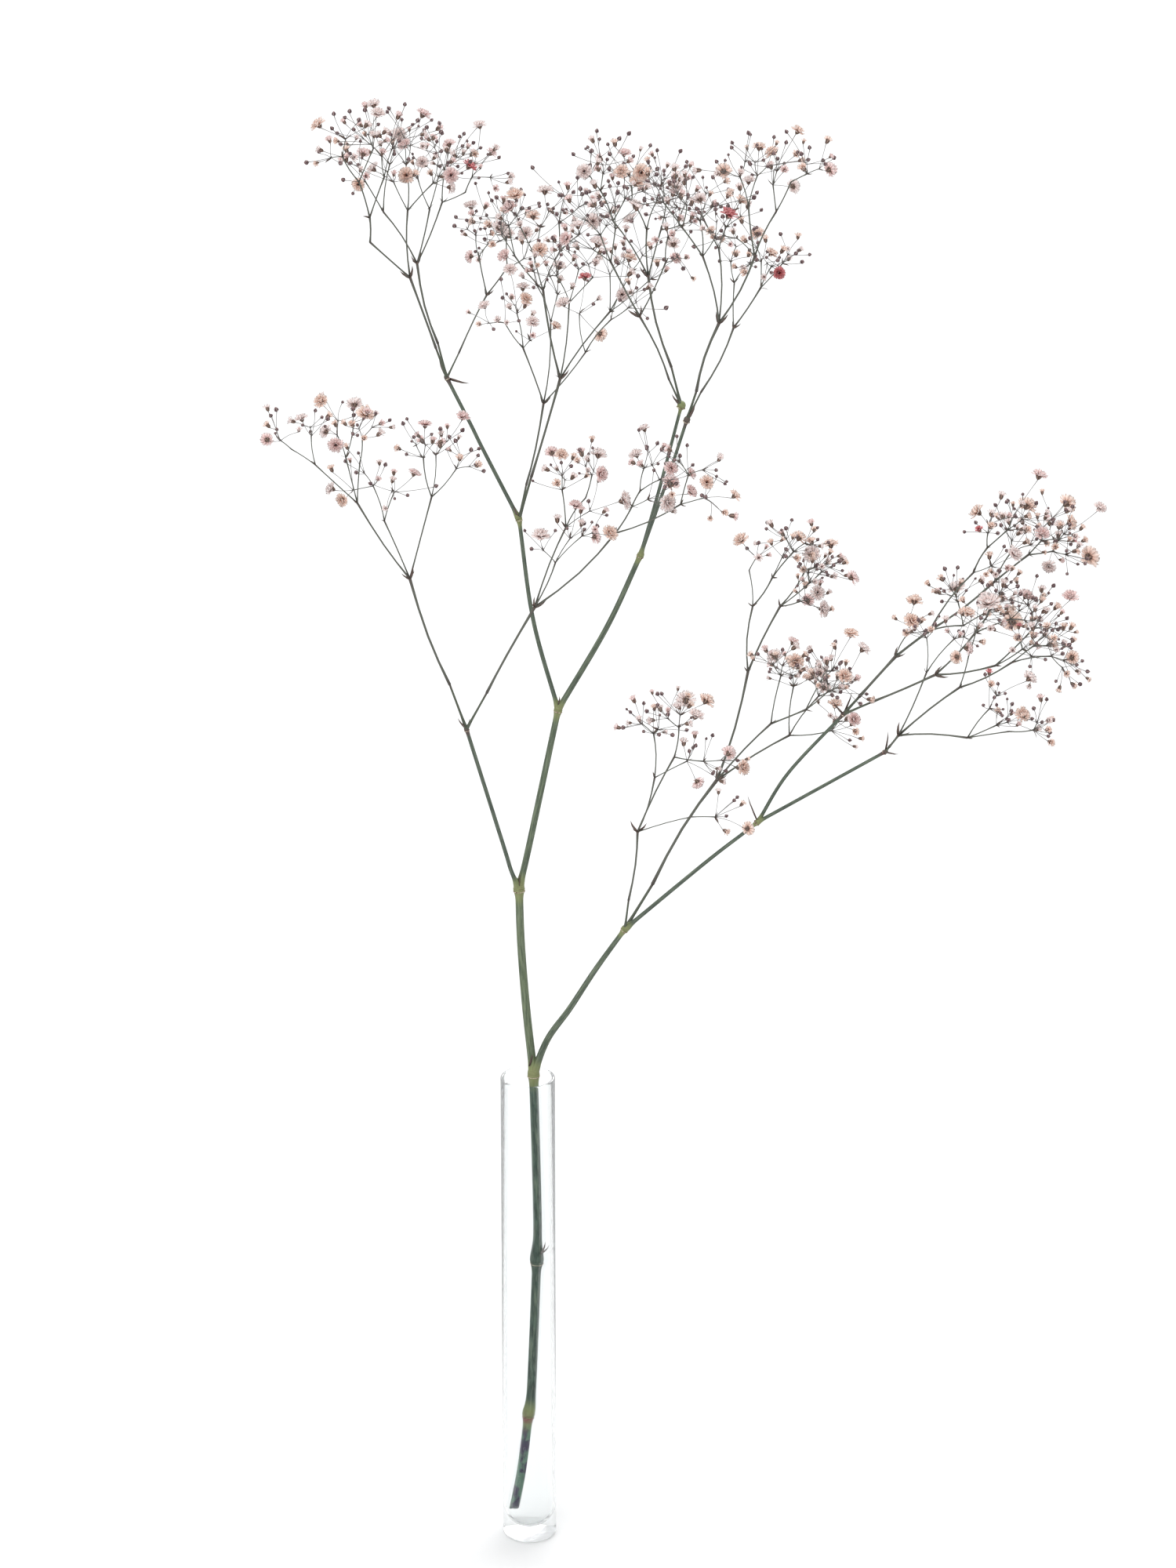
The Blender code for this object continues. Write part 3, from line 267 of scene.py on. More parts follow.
tube = begin(
    "cylinder", "clear_tube", vertices=TUBE_SIDES, radius=TUBE_RADIUS, depth=TUBE_HEIGHT,
    location=(0, 0, TUBE_HEIGHT / 2))
pick(tube, "faces", lambda place: place.z > TUBE_HEIGHT - SAME_PLACE)
bpy.ops.mesh.inset(thickness=TUBE_WALL)
bpy.ops.mesh.extrude_region_move(TRANSFORM_OT_translate={"value": (0, 0, FOOT_THICKNESS - TUBE_HEIGHT)})
for height, rounding, steps in ROUNDED_EDGES:
    pick(tube, "edges", lambda place: abs(place.z - height) < SAME_PLACE)
    bpy.ops.mesh.bevel(offset=rounding, segments=steps, affect="EDGES")
bpy.ops.object.mode_set(mode="OBJECT")
bpy.ops.object.shade_smooth_by_angle(angle=SMOOTH_ANGLE)

glass = Paint(
    "clear glass", roughness=0.0, Base_Color=GLASS_TINT, Transmission_Weight=1.0, IOR=GLASS_REFRACTION)
clear = glass.node("BsdfTransparent", {}, {})
glass.blend_shaders(GLASS_BODY, clear, glass.body)
tube.data.materials.append(glass.material)
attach(tube, "root")
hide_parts("glass_tube")


# Main stem. One dry green stem, cut aslant at its foot, that forks at swollen joints. Each length is widest
# just above the joint that it grows from, and a pale papery scar of the old leaves' base rings the joint
# below it. The joints that only carry sprays are small and dark.
ROD_ROUNDNESS = 6
RING_STEP = 1.4 * MM
CAP_GAP = 0.001 * MM
GRAIN_LENGTH = 20 * MM
# The cut foot: its slope, and how much of a ring's step it takes
CUT_SLOPE = 0.8
CUT_RINGS = 0.3
# A length's swollen ends: how thick they are and how far they reach, in radii of the joint
LONE_BASE = 0.95
FORK_BASE = 0.74
BASE_RUN = 2.0
TOP_SHARE = 0.9
TOP_RUN = 1.0
END_JOINT_SHARE = 0.8
# Lengths from this radius up, in millimetres, are no slim arms, and those this much thinner are slim all over
THICK_ARM = 2.0
SLIM_STEP = 1.1
# The bulb of a joint and the scar round it, in radii of the joint
BULB_SHARE = 0.86
BULB_LIFT = 0.15
BULB_STRETCH = 1.15
BULB_SIDES = 20
BULB_RINGS = 12
GREEN_KNOBS = {"right_crown_left": 1.35, "right_crown_right": 1.0}
SCAR_SHARE = 0.88
SCAR_DROP = 0.42
SCAR_RADIUS = 0.17 * MM
SCAR_WEAR = 0.9 * SCAR_RADIUS
SCAR_SIDES = 22
SCAR_ROUND_SIDES = 5

# The joints: pixel, depth and swelling radius in millimetres
JOINTS = {
    "foot": (655.5, 1924, 0.5, 2.35),
    "first": (674, 1804, 2.5, 3.3),
    "second": (685, 1608, 4, 3.7),
    "rim": (680.5, 1369, 5, 3.3),
    "left_main": (662, 1133, 6, 3.1),
    "crown": (712, 905, 12, 2.3),
    "right_crown": (817, 708, 6, 1.9),
    "right_crown_left": (869, 518, 14, 1.7),
    "right_crown_right": (876, 536, -8, 1.8),
    "middle": (662, 662, 28, 1.8),
    "upper_left": (570, 482, 48, 1.8),
    "left_arm": (595, 930, -14, 1.7),
    "right_arm": (797, 1185, -8, 2.0),
    "right_fork": (966.5, 1048.5, -18, 1.7),
    "far_right_upper": (1075.8, 911, -8, 1.6),
    "far_right_lower": (1129, 959, -40, 1.6),
}

# The lengths: the joints that each joins, its radii in millimetres, and points that it bends through
LENGTHS = [
    ("foot", "first", 2.35, 2.2, [(663.8, 1883, 1), (669.4, 1844, 2)]),
    ("first", "second", 2.3, 2.25, [(678, 1770, 3)]),
    ("second", "rim", 2.15, 2.25, [(686, 1560, 4.4), (683.6, 1462, 5)]),
    ("rim", "left_main", 2.0, 1.85, [(671, 1284, 5), (664.5, 1202, 5.5)]),
    ("left_main", "crown", 1.55, 1.45, [(674.6, 1080, 7)]),
    ("crown", "right_crown", 1.35, 1.2, [(774, 800, 9)]),
    ("right_crown", "right_crown_left", 0.85, 0.75, [(842, 620, 13)]),
    ("right_crown", "right_crown_right", 0.85, 0.75, [(850, 615, -2)]),
    ("crown", "middle", 1.05, 0.95, [(680, 790, 19)]),
    ("middle", "upper_left", 0.95, 0.85, [(617, 575, 37), (600, 540.6, 41)]),
    ("left_main", "left_arm", 1.0, 0.9, [(651.8, 1110, 2), (642.6, 1080, -1)]),
    ("rim", "right_arm", 1.7, 1.15, [(698.8, 1325, 2), (727, 1286, -1), (760, 1236, -4)]),
    ("right_arm", "right_fork", 1.0, 0.85, [(900, 1100, -14), (946.7, 1064, -17)]),
    ("right_fork", "far_right_upper", 0.85, 0.75, [(1005.4, 986, -15)]),
    ("right_fork", "far_right_lower", 0.85, 0.75, []),
]


def joint_place(name):
    u, v, depth, _ = JOINTS[name]
    return spot(u, v, depth)


def swelling(name):
    """A joint's radius in metres."""
    return JOINTS[name][3] * MM


def length_places(low_joint, high_joint, bends):
    """The places that a length of the stem runs through, from joint to joint."""
    return [joint_place(low_joint), *(spot(*bend) for bend in bends), joint_place(high_joint)]


def smooth_path(places, step):
    """Points about a step apart on a smooth curve through the places, and how far along it each one is."""
    before = places[0] * 2 - places[1]
    after = places[-1] * 2 - places[-2]
    guides = [before, *places, after]
    path = [places[0]]
    for a, b, c, d in zip(guides, guides[1:], guides[2:], guides[3:]):
        count = max(2, round((c - b).length / step))
        bend = a * 2 - b * 5 + c * 4 - d
        twist = b * 3 - a - c * 3 + d
        for i in range(1, count + 1):
            t = i / count
            path.append((b * 2 + (c - a) * t + bend * t * t + twist * t**3) / 2)
    runs = [0.0]
    for start, end in zip(path, path[1:]):
        runs.append(runs[-1] + (end - start).length)
    return path, runs


def new_rods(name, roundness):
    """An empty curve object whose splines become round rods."""
    bpy.ops.object.select_all(action="DESELECT")
    bpy.ops.curve.primitive_bezier_curve_add()
    rods = bpy.context.object
    rods.name = name
    rods.data.splines.clear()
    rods.data.bevel_depth = 1
    rods.data.bevel_resolution = roundness
    rods.data.use_fill_caps = True
    return rods


def add_rod(rods, path, radii):
    spline = rods.data.splines.new("POLY")
    spline.points.add(len(path) - 1)
    for point, place, radius in zip(spline.points, path, radii):
        point.co = (*place, 1)
        point.radius = radius


def select_only(pieces):
    """Selects these pieces alone, and makes the first one active."""
    bpy.ops.object.select_all(action="DESELECT")
    for piece in pieces:
        piece.select_set(True)
    bpy.context.view_layer.objects.active = pieces[0]


def weld(distance):
    """In edit mode, merges what lies together and turns all faces outwards."""
    bpy.ops.mesh.select_all(action="SELECT")
    bpy.ops.mesh.remove_doubles(threshold=distance)
    bpy.ops.mesh.normals_make_consistent(inside=False)


def as_mesh(rods):
    """The curve made a mesh, with its caps welded on."""
    select_only([rods])
    bpy.ops.object.convert(target="MESH")
    bpy.ops.object.mode_set(mode="EDIT")
    weld(CAP_GAP)
    bpy.ops.object.mode_set(mode="OBJECT")
    return bpy.context.object


def leave_smooth():
    """Leaves edit mode, and shades the piece smooth."""
    bpy.ops.object.mode_set(mode="OBJECT")
    bpy.ops.object.shade_smooth()


def join(name, pieces):
    """Joins the pieces in one piece of this name."""
    select_only(pieces)
    if len(pieces) > 1:
        bpy.ops.object.join()
    whole = bpy.context.object
    whole.name = name
    return whole


def note(piece, name, values):
    """Writes one value a vertex on the piece's mesh, for its material to read."""
    attribute = piece.data.attributes.new(name, "FLOAT", "POINT")
    attribute.data.foreach_set("value", values)


def change_uv(piece, change):
    """Changes the piece's UV map by a function of its rows of u and v."""
    layer = piece.data.uv_layers.active
    uv = np.zeros(len(layer.data) * 2, np.float32)
    layer.data.foreach_get("uv", uv)
    layer.data.foreach_set("uv", change(uv.reshape(-1, 2)).ravel())


def turned_to(axis):
    """The turn that stands a model up along the axis."""
    return axis.to_track_quat("Z", "Y").to_matrix().to_4x4()


forks = {length[0] for length in LENGTHS}
stems = []
for low_joint, high_joint, first_radius, last_radius, bends in LENGTHS:
    path, runs = smooth_path(length_places(low_joint, high_joint, bends), RING_STEP)
    arms = sum(low_joint == other[0] for other in LENGTHS)
    base = 0 if low_joint == "foot" else swelling(low_joint) * (FORK_BASE if arms > 1 else LONE_BASE)
    top = swelling(high_joint) * (1 if high_joint in forks else END_JOINT_SHARE)
    radii = []
    for run in runs:
        radius = (first_radius + (last_radius - first_radius) * run / runs[-1]) * MM
        if base:
            radius += max(0, base - radius) * math.exp(-((run / (BASE_RUN * base)) ** 2))
        radius += (top * TOP_SHARE - radius) * math.exp(-(((runs[-1] - run) / (TOP_RUN * top)) ** 2))
        radii.append(radius)
    rods = new_rods(f"{low_joint} to {high_joint}", ROD_ROUNDNESS)
    add_rod(rods, path, radii)
    length = as_mesh(rods)
    change_uv(length, lambda uv: uv * (runs[-1] / GRAIN_LENGTH, 1))
    if low_joint == "foot":
        for vertex in length.data.vertices:
            if (vertex.co - path[0]).dot(path[1] - path[0]) < RING_STEP * RING_STEP * CUT_RINGS:
                vertex.co.z += (vertex.co.x - path[0].x + radii[0]) * CUT_SLOPE
    slimness = min(1.0, max(0.0, (THICK_ARM - last_radius) / SLIM_STEP))
    note(length, "slim", [slimness] * len(length.data.vertices))
    stems.append(length)

scars = []
for name in JOINTS:
    if name == "foot":
        continue
    place = joint_place(name)
    arriving = next(length for length in LENGTHS if length[1] == name)
    axis = (place - length_places(arriving[0], name, arriving[4])[-2]).normalized()
    size = swelling(name) * BULB_SHARE * (1 if name in forks else GREEN_KNOBS.get(name, END_JOINT_SHARE))
    bulb = begin("uv_sphere", f"{name} bulb", segments=BULB_SIDES, ring_count=BULB_RINGS, radius=size)
    bpy.ops.transform.resize(value=(1, 1, BULB_STRETCH))
    leave_smooth()
    bulb.data.transform(Matrix.Translation(place + axis * swelling(name) * BULB_LIFT) @ turned_to(axis))
    note(bulb, "slim", [0.0] * len(bulb.data.vertices))
    stems.append(bulb)
    scar = begin(
        "torus", f"{name} scar", major_segments=SCAR_SIDES, minor_segments=SCAR_ROUND_SIDES,
        major_radius=size * SCAR_SHARE / BULB_SHARE, minor_radius=SCAR_RADIUS)
    bpy.ops.transform.vertex_random(offset=SCAR_WEAR, seed=len(scars) + 1)
    leave_smooth()
    scar.data.transform(Matrix.Translation(place - axis * swelling(name) * SCAR_DROP) @ turned_to(axis))
    scars.append(scar)

stem = join("green_stem", stems)

# The stem's finish. In the tube it is painted inky green as painted shade of the glass round it. It is
# mottled near its foot and greyer above, with pale fibres, yellower round its big joints and dark at the
# small ones. A crimson stain marks the lowest joint.
# Painted shade: the darker greens of the stem inside the glass tube.
GLASS_SHADED_GREENS = [(0.010, 0.032, 0.024), (0.045, 0.085, 0.060)]
UPPER_GREENS = [(0.072, 0.103, 0.052), (0.125, 0.160, 0.082)]
SLIM_GREENS = [(0.030, 0.045, 0.038), (0.070, 0.092, 0.066)]
FOOT_MOTTLES = [(0.070, 0.150, 0.100), (0.022, 0.010, 0.045)]
FOOT_SPECK = (0.30, 0.32, 0.30)
PALE_STREAK = (0.20, 0.24, 0.16)
DARK_STREAK = (0.022, 0.036, 0.024)
PALE_FIBRE = (0.19, 0.22, 0.16)
PALE_SPECK = (0.30, 0.33, 0.29)
JOINT_YELLOW = (0.22, 0.25, 0.085)
JOINT_CRIMSON = (0.14, 0.035, 0.06)
STAIN_CRIMSON = (0.17, 0.010, 0.045)
SMALL_JOINT_BROWN = (0.075, 0.045, 0.042)
PAPER_CREAM = (0.62, 0.56, 0.42)
PAPER_RUST = (0.14, 0.05, 0.05)
PAPER_CRIMSON = (0.24, 0.02, 0.07)
# How far a joint's colour reaches, in its radii
JOINT_REACH = 3.2
# The stain: how far down the lowest length it sits, and how far it reaches
STAIN_DROP = 0.034
STAIN_REACH = 3.2 * MM
# Heights between which the finish changes. Between the second pair, the painted shade of the glass tube gives
# way to the stem's own greens.
MOTTLED_HEIGHTS = (66 * MM, 58 * MM)
GLASS_SHADE_HEIGHTS = (TUBE_HEIGHT - 8 * MM, TUBE_HEIGHT + 2 * MM)
CRIMSON_SCAR_HEIGHTS = (90 * MM, 80 * MM)
skin_places = np.array([vertex.co for vertex in stem.data.vertices])


def distance_to(place):
    """How far each vertex of the stem is from a place."""
    return np.linalg.norm(skin_places - np.array(place), axis=1)


def nearness(names):
    """How near each vertex of the stem is to the nearest of these joints, from 0 to 1."""
    near = np.zeros(len(skin_places))
    for name in names:
        away = distance_to(joint_place(name)) / swelling(name)
        near = np.maximum(near, np.exp(-((away / JOINT_REACH) ** 2)))
    return near


note(stem, "joint", nearness(forks - {"foot", "second"} | {"right_crown_left"}))
note(stem, "end_joint", nearness(set(JOINTS) - forks - {"right_crown_left"}))
ring = joint_place("first").lerp(joint_place("foot"), STAIN_DROP)
note(stem, "stain", np.exp(-((distance_to(ring) / STAIN_REACH) ** 4)))

green = Paint("dry green stem", roughness=0.55)
place = green.place()
_, _, height = green.split(place)
joint = green.attribute("joint")
end_joint = green.attribute("end_joint")
stain = green.attribute("stain")
run = green.node("UVMap", {"uv_map": "UVMap"}, {})
blotches = green.noise(run, scale=3.2, detail=4.0, stretch=(1, 2.5, 1))
streaks = green.noise(run, scale=14, stretch=(0.12, 1, 1))
fibres = green.noise(run, scale=34, stretch=(0.09, 1, 1))
patches = green.noise(run, scale=1.9, detail=2.5, stretch=(1, 1.2, 1))
specks = green.noise(place, scale=2600, detail=2.0)
# Painted shade of the glass on the stem in the tube.
glass_shaded_green = green.mix(blotches.between(0.40, 0.62), *GLASS_SHADED_GREENS)
high_green = green.mix(blotches.between(0.3, 0.7), *UPPER_GREENS)
slim_green = green.mix(blotches.between(0.35, 0.65), *SLIM_GREENS)
mottled = green.mix(patches.between(0.48, 0.54), *FOOT_MOTTLES)
mottled = green.mix(specks.between(0.54, 0.66) * 0.6, mottled, FOOT_SPECK)
green.colour(
    green.mix(height.between(*GLASS_SHADE_HEIGHTS), glass_shaded_green, high_green),
    (green.attribute("slim") * 0.9, slim_green),
    (streaks.between(0.50, 0.66) * 0.4, PALE_STREAK),
    (streaks.between(0.50, 0.36) * 0.5, DARK_STREAK),
    (fibres.between(0.54, 0.66) * 0.45, PALE_FIBRE),
    (specks.between(0.66, 0.74) * 0.5, PALE_SPECK),
    (height.between(*MOTTLED_HEIGHTS), mottled),
    (joint.between(0.35, 0.95) * 0.7, JOINT_YELLOW),
    (joint.between(0.72, 1.0) * specks.between(0.50, 0.66) * 0.7, JOINT_CRIMSON),
    (stain.between(0.2, 0.6) * specks.between(0.34, 0.56) * 0.85, STAIN_CRIMSON),
    (end_joint.between(0.45, 0.95) * 0.85, SMALL_JOINT_BROWN),
)
green.bump(streaks + fibres + specks * 0.4, distance=0.12 * MM, strength=0.6)
stem.data.materials.append(green.material)
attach(stem, "root")
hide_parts("main_stem")

paper = Paint("papery scar", roughness=0.8)
place = paper.place()
_, _, height = paper.split(place)
rust = paper.noise(place, scale=1400)
paper.colour(
    PAPER_CREAM,
    (rust.between(0.4, 0.62), PAPER_RUST),
    (height.between(*CRIMSON_SCAR_HEIGHTS) * 0.8, PAPER_CRIMSON),
)
paper.bump(rust, distance=0.1 * MM)
scar = join("joint_scars", scars)
scar.data.materials.append(paper.material)
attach(scar, "root")
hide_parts("main_stem")


# Growth of the sprays. Each spray is a fan of thin twigs that ends in cymes: the oldest flower opens in the
# fork, and the two side twigs fork again, down to the last closed buds. The solids of the sprays grew by the
# same rule and the same seed, so every twig and flower that is grown here stands where its solid is.
def fork(u, v, depth, *twigs):
    """A joint of a spray, seen at the pixel (u, v), and what grows from it."""
    return {"pixel": (u, v), "end": spot(u, v, depth), "twigs": twigs}


def cyme(u, v, depth, blooms, reach):
    """A twig's end, the number of blooms beyond it, and how many millimetres they reach."""
    place = {"pixel": (u, v), "end": spot(u, v, depth), "depth": depth}
    return place | {"blooms": blooms, "reach": reach, "open": []}


# Each spray: the joint of the main stem that it grows from, and its twigs, all seen from in front
SPRAYS = {
    "top_left_outer_spray": ("upper_left", fork(
        523, 354, 28,
        fork(472, 309, 20, fork(
            471.6, 277.5, 18,
            fork(458, 232, 14, cyme(437, 200, 6, 9, 26), cyme(476, 190, 20, 8, 24)),
            fork(490, 226, 26, cyme(487, 200, 30, 7, 26), cyme(500, 190, 16, 6, 30)))),
        fork(520, 268.6, 34, cyme(518, 210, 42, 8, 34), cyme(502, 232, 26, 6, 24),
             cyme(552, 234, 40, 9, 30)))),
    "top_left_inner_spray": ("upper_left", fork(
        532, 336, 58,
        fork(489, 270.4, 62, cyme(465.7, 231, 54, 7, 24), cyme(497, 210, 70, 7, 30)),
        fork(548, 266.8, 50, cyme(533, 228, 48, 6, 28), cyme(559, 226, 60, 8, 32)),
        fork(564, 258, 70, cyme(567, 218, 78, 8, 30), fork(593.4, 245.4, 64, cyme(602, 226, 62, 8, 24))))),
    "upper_left_spray": ("upper_left", fork(
        621, 376, 86,
        fork(611, 328, 80, cyme(607, 300, 74, 5, 20), cyme(622, 312, 90, 5, 20)),
        fork(647, 341, 92, cyme(646, 304, 86, 9, 30), cyme(668, 330, 100, 6, 24)))),
    "middle_spray": ("middle", fork(
        693.3, 514.5, 10,
        fork(667.3, 444.2, 0, cyme(644, 412, -6, 6, 22), cyme(659.4, 400, 8, 5, 20),
             cyme(676, 434, -6, 4, 14)),
        fork(702.4, 411.5, 18, cyme(686, 366, 12, 6, 24), cyme(711, 376, 26, 6, 22)),
        fork(746.6, 449.7, 4, cyme(739, 400, 0, 4, 16),
             fork(779, 408, -2, cyme(801, 393, -8, 5, 20), cyme(790, 376, 6, 4, 18))))),
    "centre_spray": ("middle", fork(
        714.5, 483, 46,
        fork(692.7, 370.3, 54,
             fork(656.8, 326.8, 60, cyme(640, 300, 66, 6, 24), cyme(649, 288, 52, 7, 26)),
             fork(680, 322, 44, cyme(664, 290, 40, 6, 24), cyme(689, 290, 50, 6, 24)),
             fork(714, 321, 60, cyme(713, 284, 66, 9, 30), cyme(738, 300, 52, 7, 26))),
        fork(726, 386, 34, cyme(710, 352, 28, 5, 22), cyme(738, 344, 42, 6, 26), cyme(756, 354, 26, 6, 22)),
        fork(778, 397.5, 56, cyme(778, 350, 62, 6, 22), cyme(806, 345, 48, 8, 24),
             cyme(830, 356, 60, 4, 18)))),
    "top_middle_near_spray": ("right_crown_left", fork(
        816, 403.6, -8,
        fork(779, 334, -18, cyme(766, 300, -24, 9, 28), cyme(785, 292, -10, 9, 28),
             cyme(756, 318, -26, 5, 20)),
        fork(849, 334.8, -4, cyme(852, 302, -10, 7, 24), cyme(864, 328, 6, 4, 16)))),
    "top_middle_spray": ("right_crown_left", fork(
        827, 352.7, 30,
        fork(782, 282, 26, fork(766, 243, 20, cyme(752, 224, 14, 6, 22), cyme(769, 222, 28, 5, 20)),
             cyme(797, 254, 32, 7, 26)),
        fork(825, 293, 40, cyme(806, 256, 44, 10, 30), cyme(838, 256, 36, 8, 26)),
        fork(843, 293, 22, cyme(866, 288, 14, 8, 28), cyme(850, 256, 24, 8, 28)))),
    "top_right_spray": ("right_crown_right", fork(
        917, 412.5, -16,
        fork(896.4, 327, -26, fork(870, 290, -34, cyme(846, 258, -40, 7, 24), cyme(876, 262, -30, 7, 26)),
             cyme(893, 282, -18, 8, 28), cyme(912, 303, -34, 5, 20)),
        fork(917, 318, -4, cyme(895, 274, 2, 8, 28), cyme(926, 290, -8, 8, 26)),
        fork(962.5, 327.5, -24,
             fork(954.7, 262.4, -30, cyme(944, 226, -36, 8, 26), cyme(966, 224, -24, 8, 26)),
             fork(990, 270, -20, cyme(986, 236, -14, 8, 26),
                  fork(1009, 232, -24, cyme(1029, 222, -28, 8, 22))),
             cyme(940, 304, -14, 5, 20)))),
    "outer_top_right_spray": ("right_crown_right", fork(
        935.7, 418, 20,
        fork(936.6, 360.7, 24, cyme(932, 334, 32, 5, 20), cyme(956, 337, 16, 5, 20)),
        fork(970.3, 367, 26, cyme(971, 334, 34, 6, 20), cyme(984, 340, 18, 7, 20),
             cyme(998, 336, 30, 5, 18)))),
    "left_spray": ("left_arm", fork(
        522.8, 738.3, -34,
        fork(455.8, 641.7, -42,
             fork(402.3, 593, -50, cyme(397, 556, -44, 6, 18),
                  fork(371.7, 573, -56, cyme(358, 562, -58, 5, 14))),
             fork(441, 583.3, -34, cyme(430, 555, -32, 6, 18), cyme(449, 556, -40, 5, 16)),
             fork(459, 590, -50, cyme(462, 558, -50, 7, 18))),
        fork(490.3, 664.6, -26, cyme(476, 620, -22, 7, 18), cyme(502.7, 628, -30, 6, 18)),
        fork(550.5, 634, -22, cyme(540, 584, -26, 8, 18), cyme(556, 580.4, -16, 6, 18),
             cyme(582, 598, -24, 7, 18)))),
    "crossing_spray": ("left_arm", fork(
        682, 774.5, -38,
        fork(721.8, 672.7, -34, cyme(717, 625, -28, 8, 20), fork(747, 635, -40, cyme(755, 606, -42, 7, 18)),
             cyme(752, 652, -28, 3, 14)),
        fork(708.5, 717.5, -48, cyme(693, 702, -52, 3, 14), cyme(727, 687, -44, 4, 14),
             cyme(742, 684, -50, 5, 14)),
        fork(785, 680, -42,
             fork(806, 646, -36,
                  fork(816.3, 626.6, -34, cyme(821, 598, -30, 6, 18), cyme(841, 612, -40, 7, 18)),
                  cyme(826, 637, -44, 4, 14)),
             fork(868, 643.4, -50, cyme(878, 606, -48, 9, 22), cyme(898, 635, -54, 6, 18))))),
    "lower_right_near_spray": ("right_arm", fork(
        813.2, 1061, -38,
        fork(835, 992, -44, cyme(833.7, 936, -48, 8, 20), cyme(876, 971, -38, 4, 16)),
        fork(860, 965.6, -32, cyme(866, 928, -28, 9, 22), cyme(897, 971, -26, 5, 18)),
        fork(882, 1042, -50, cyme(912, 1042, -52, 4, 16)))),
    "right_middle_spray": ("right_arm", fork(
        914.4, 995, 10,
        fork(954, 857, 12,
             fork(960, 773.5, 6, fork(955.5, 727.4, 2, cyme(965, 711, -2, 4, 14)),
                  fork(985, 737, 12, cyme(1012, 704, 14, 7, 22), cyme(998, 710, 4, 4, 16))),
             fork(995, 773.5, 22, cyme(1027, 728, 28, 9, 24), cyme(1032, 744, 14, 9, 24),
                  cyme(1020, 767, 28, 5, 18))),
        fork(983.4, 923, -2, cyme(996, 862, -8, 7, 20),
             fork(1028, 905, -6, cyme(1056, 882, -12, 9, 20), cyme(1046, 870, 4, 8, 20))),
        fork(1006.8, 938, 20, cyme(1012, 876, 28, 6, 18), cyme(1044, 888, 16, 8, 22),
             cyme(1060, 932, 24, 5, 16)))),
    "right_upper_spray": ("far_right_upper", fork(
        1142, 837.7, 4,
        cyme(1158, 808, -2, 5, 12),
        fork(1185.4, 804.5, 2,
             fork(1241.5, 730.5, -8,
                  fork(1259.4, 698.6, -12, cyme(1260, 680, -16, 5, 16), cyme(1285, 676, -8, 9, 22)),
                  cyme(1264, 722, -18, 4, 14)),
             fork(1268.3, 742, 10,
                  fork(1311.7, 707.6, 12, cyme(1328, 690, 18, 10, 24), cyme(1343, 703, 4, 10, 22)),
                  cyme(1290, 704, 4, 7, 20)),
             fork(1228.8, 798, 18, cyme(1222, 768, 14, 7, 18), cyme(1256, 782, 24, 6, 16))))),
    "right_inner_spray": ("far_right_upper", fork(
        1193, 860.6, -20,
        fork(1244, 807, -16, cyme(1262, 778, -24, 9, 20), cyme(1288, 790, -12, 9, 22)),
        fork(1269.6, 849, -26, cyme(1304, 828, -32, 9, 22), cyme(1318, 802, -22, 10, 24)))),
    "right_lower_spray": ("far_right_lower", fork(
        1146, 938, -44,
        fork(1181.5, 858.5, -54, cyme(1182, 814, -50, 4, 14), cyme(1217, 815, -58, 6, 20)),
        fork(1223.7, 877, -42, fork(1236.4, 832.6, -38, cyme(1246, 800, -42, 5, 18)),
             fork(1290, 845.3, -46, cyme(1318, 824, -50, 8, 22), cyme(1341, 837, -40, 7, 20))),
        fork(1234, 941, -66, cyme(1262, 904, -72, 5, 16), cyme(1271, 925, -60, 5, 18),
             fork(1287, 933, -68, cyme(1318, 931, -70, 5, 16))))),
}

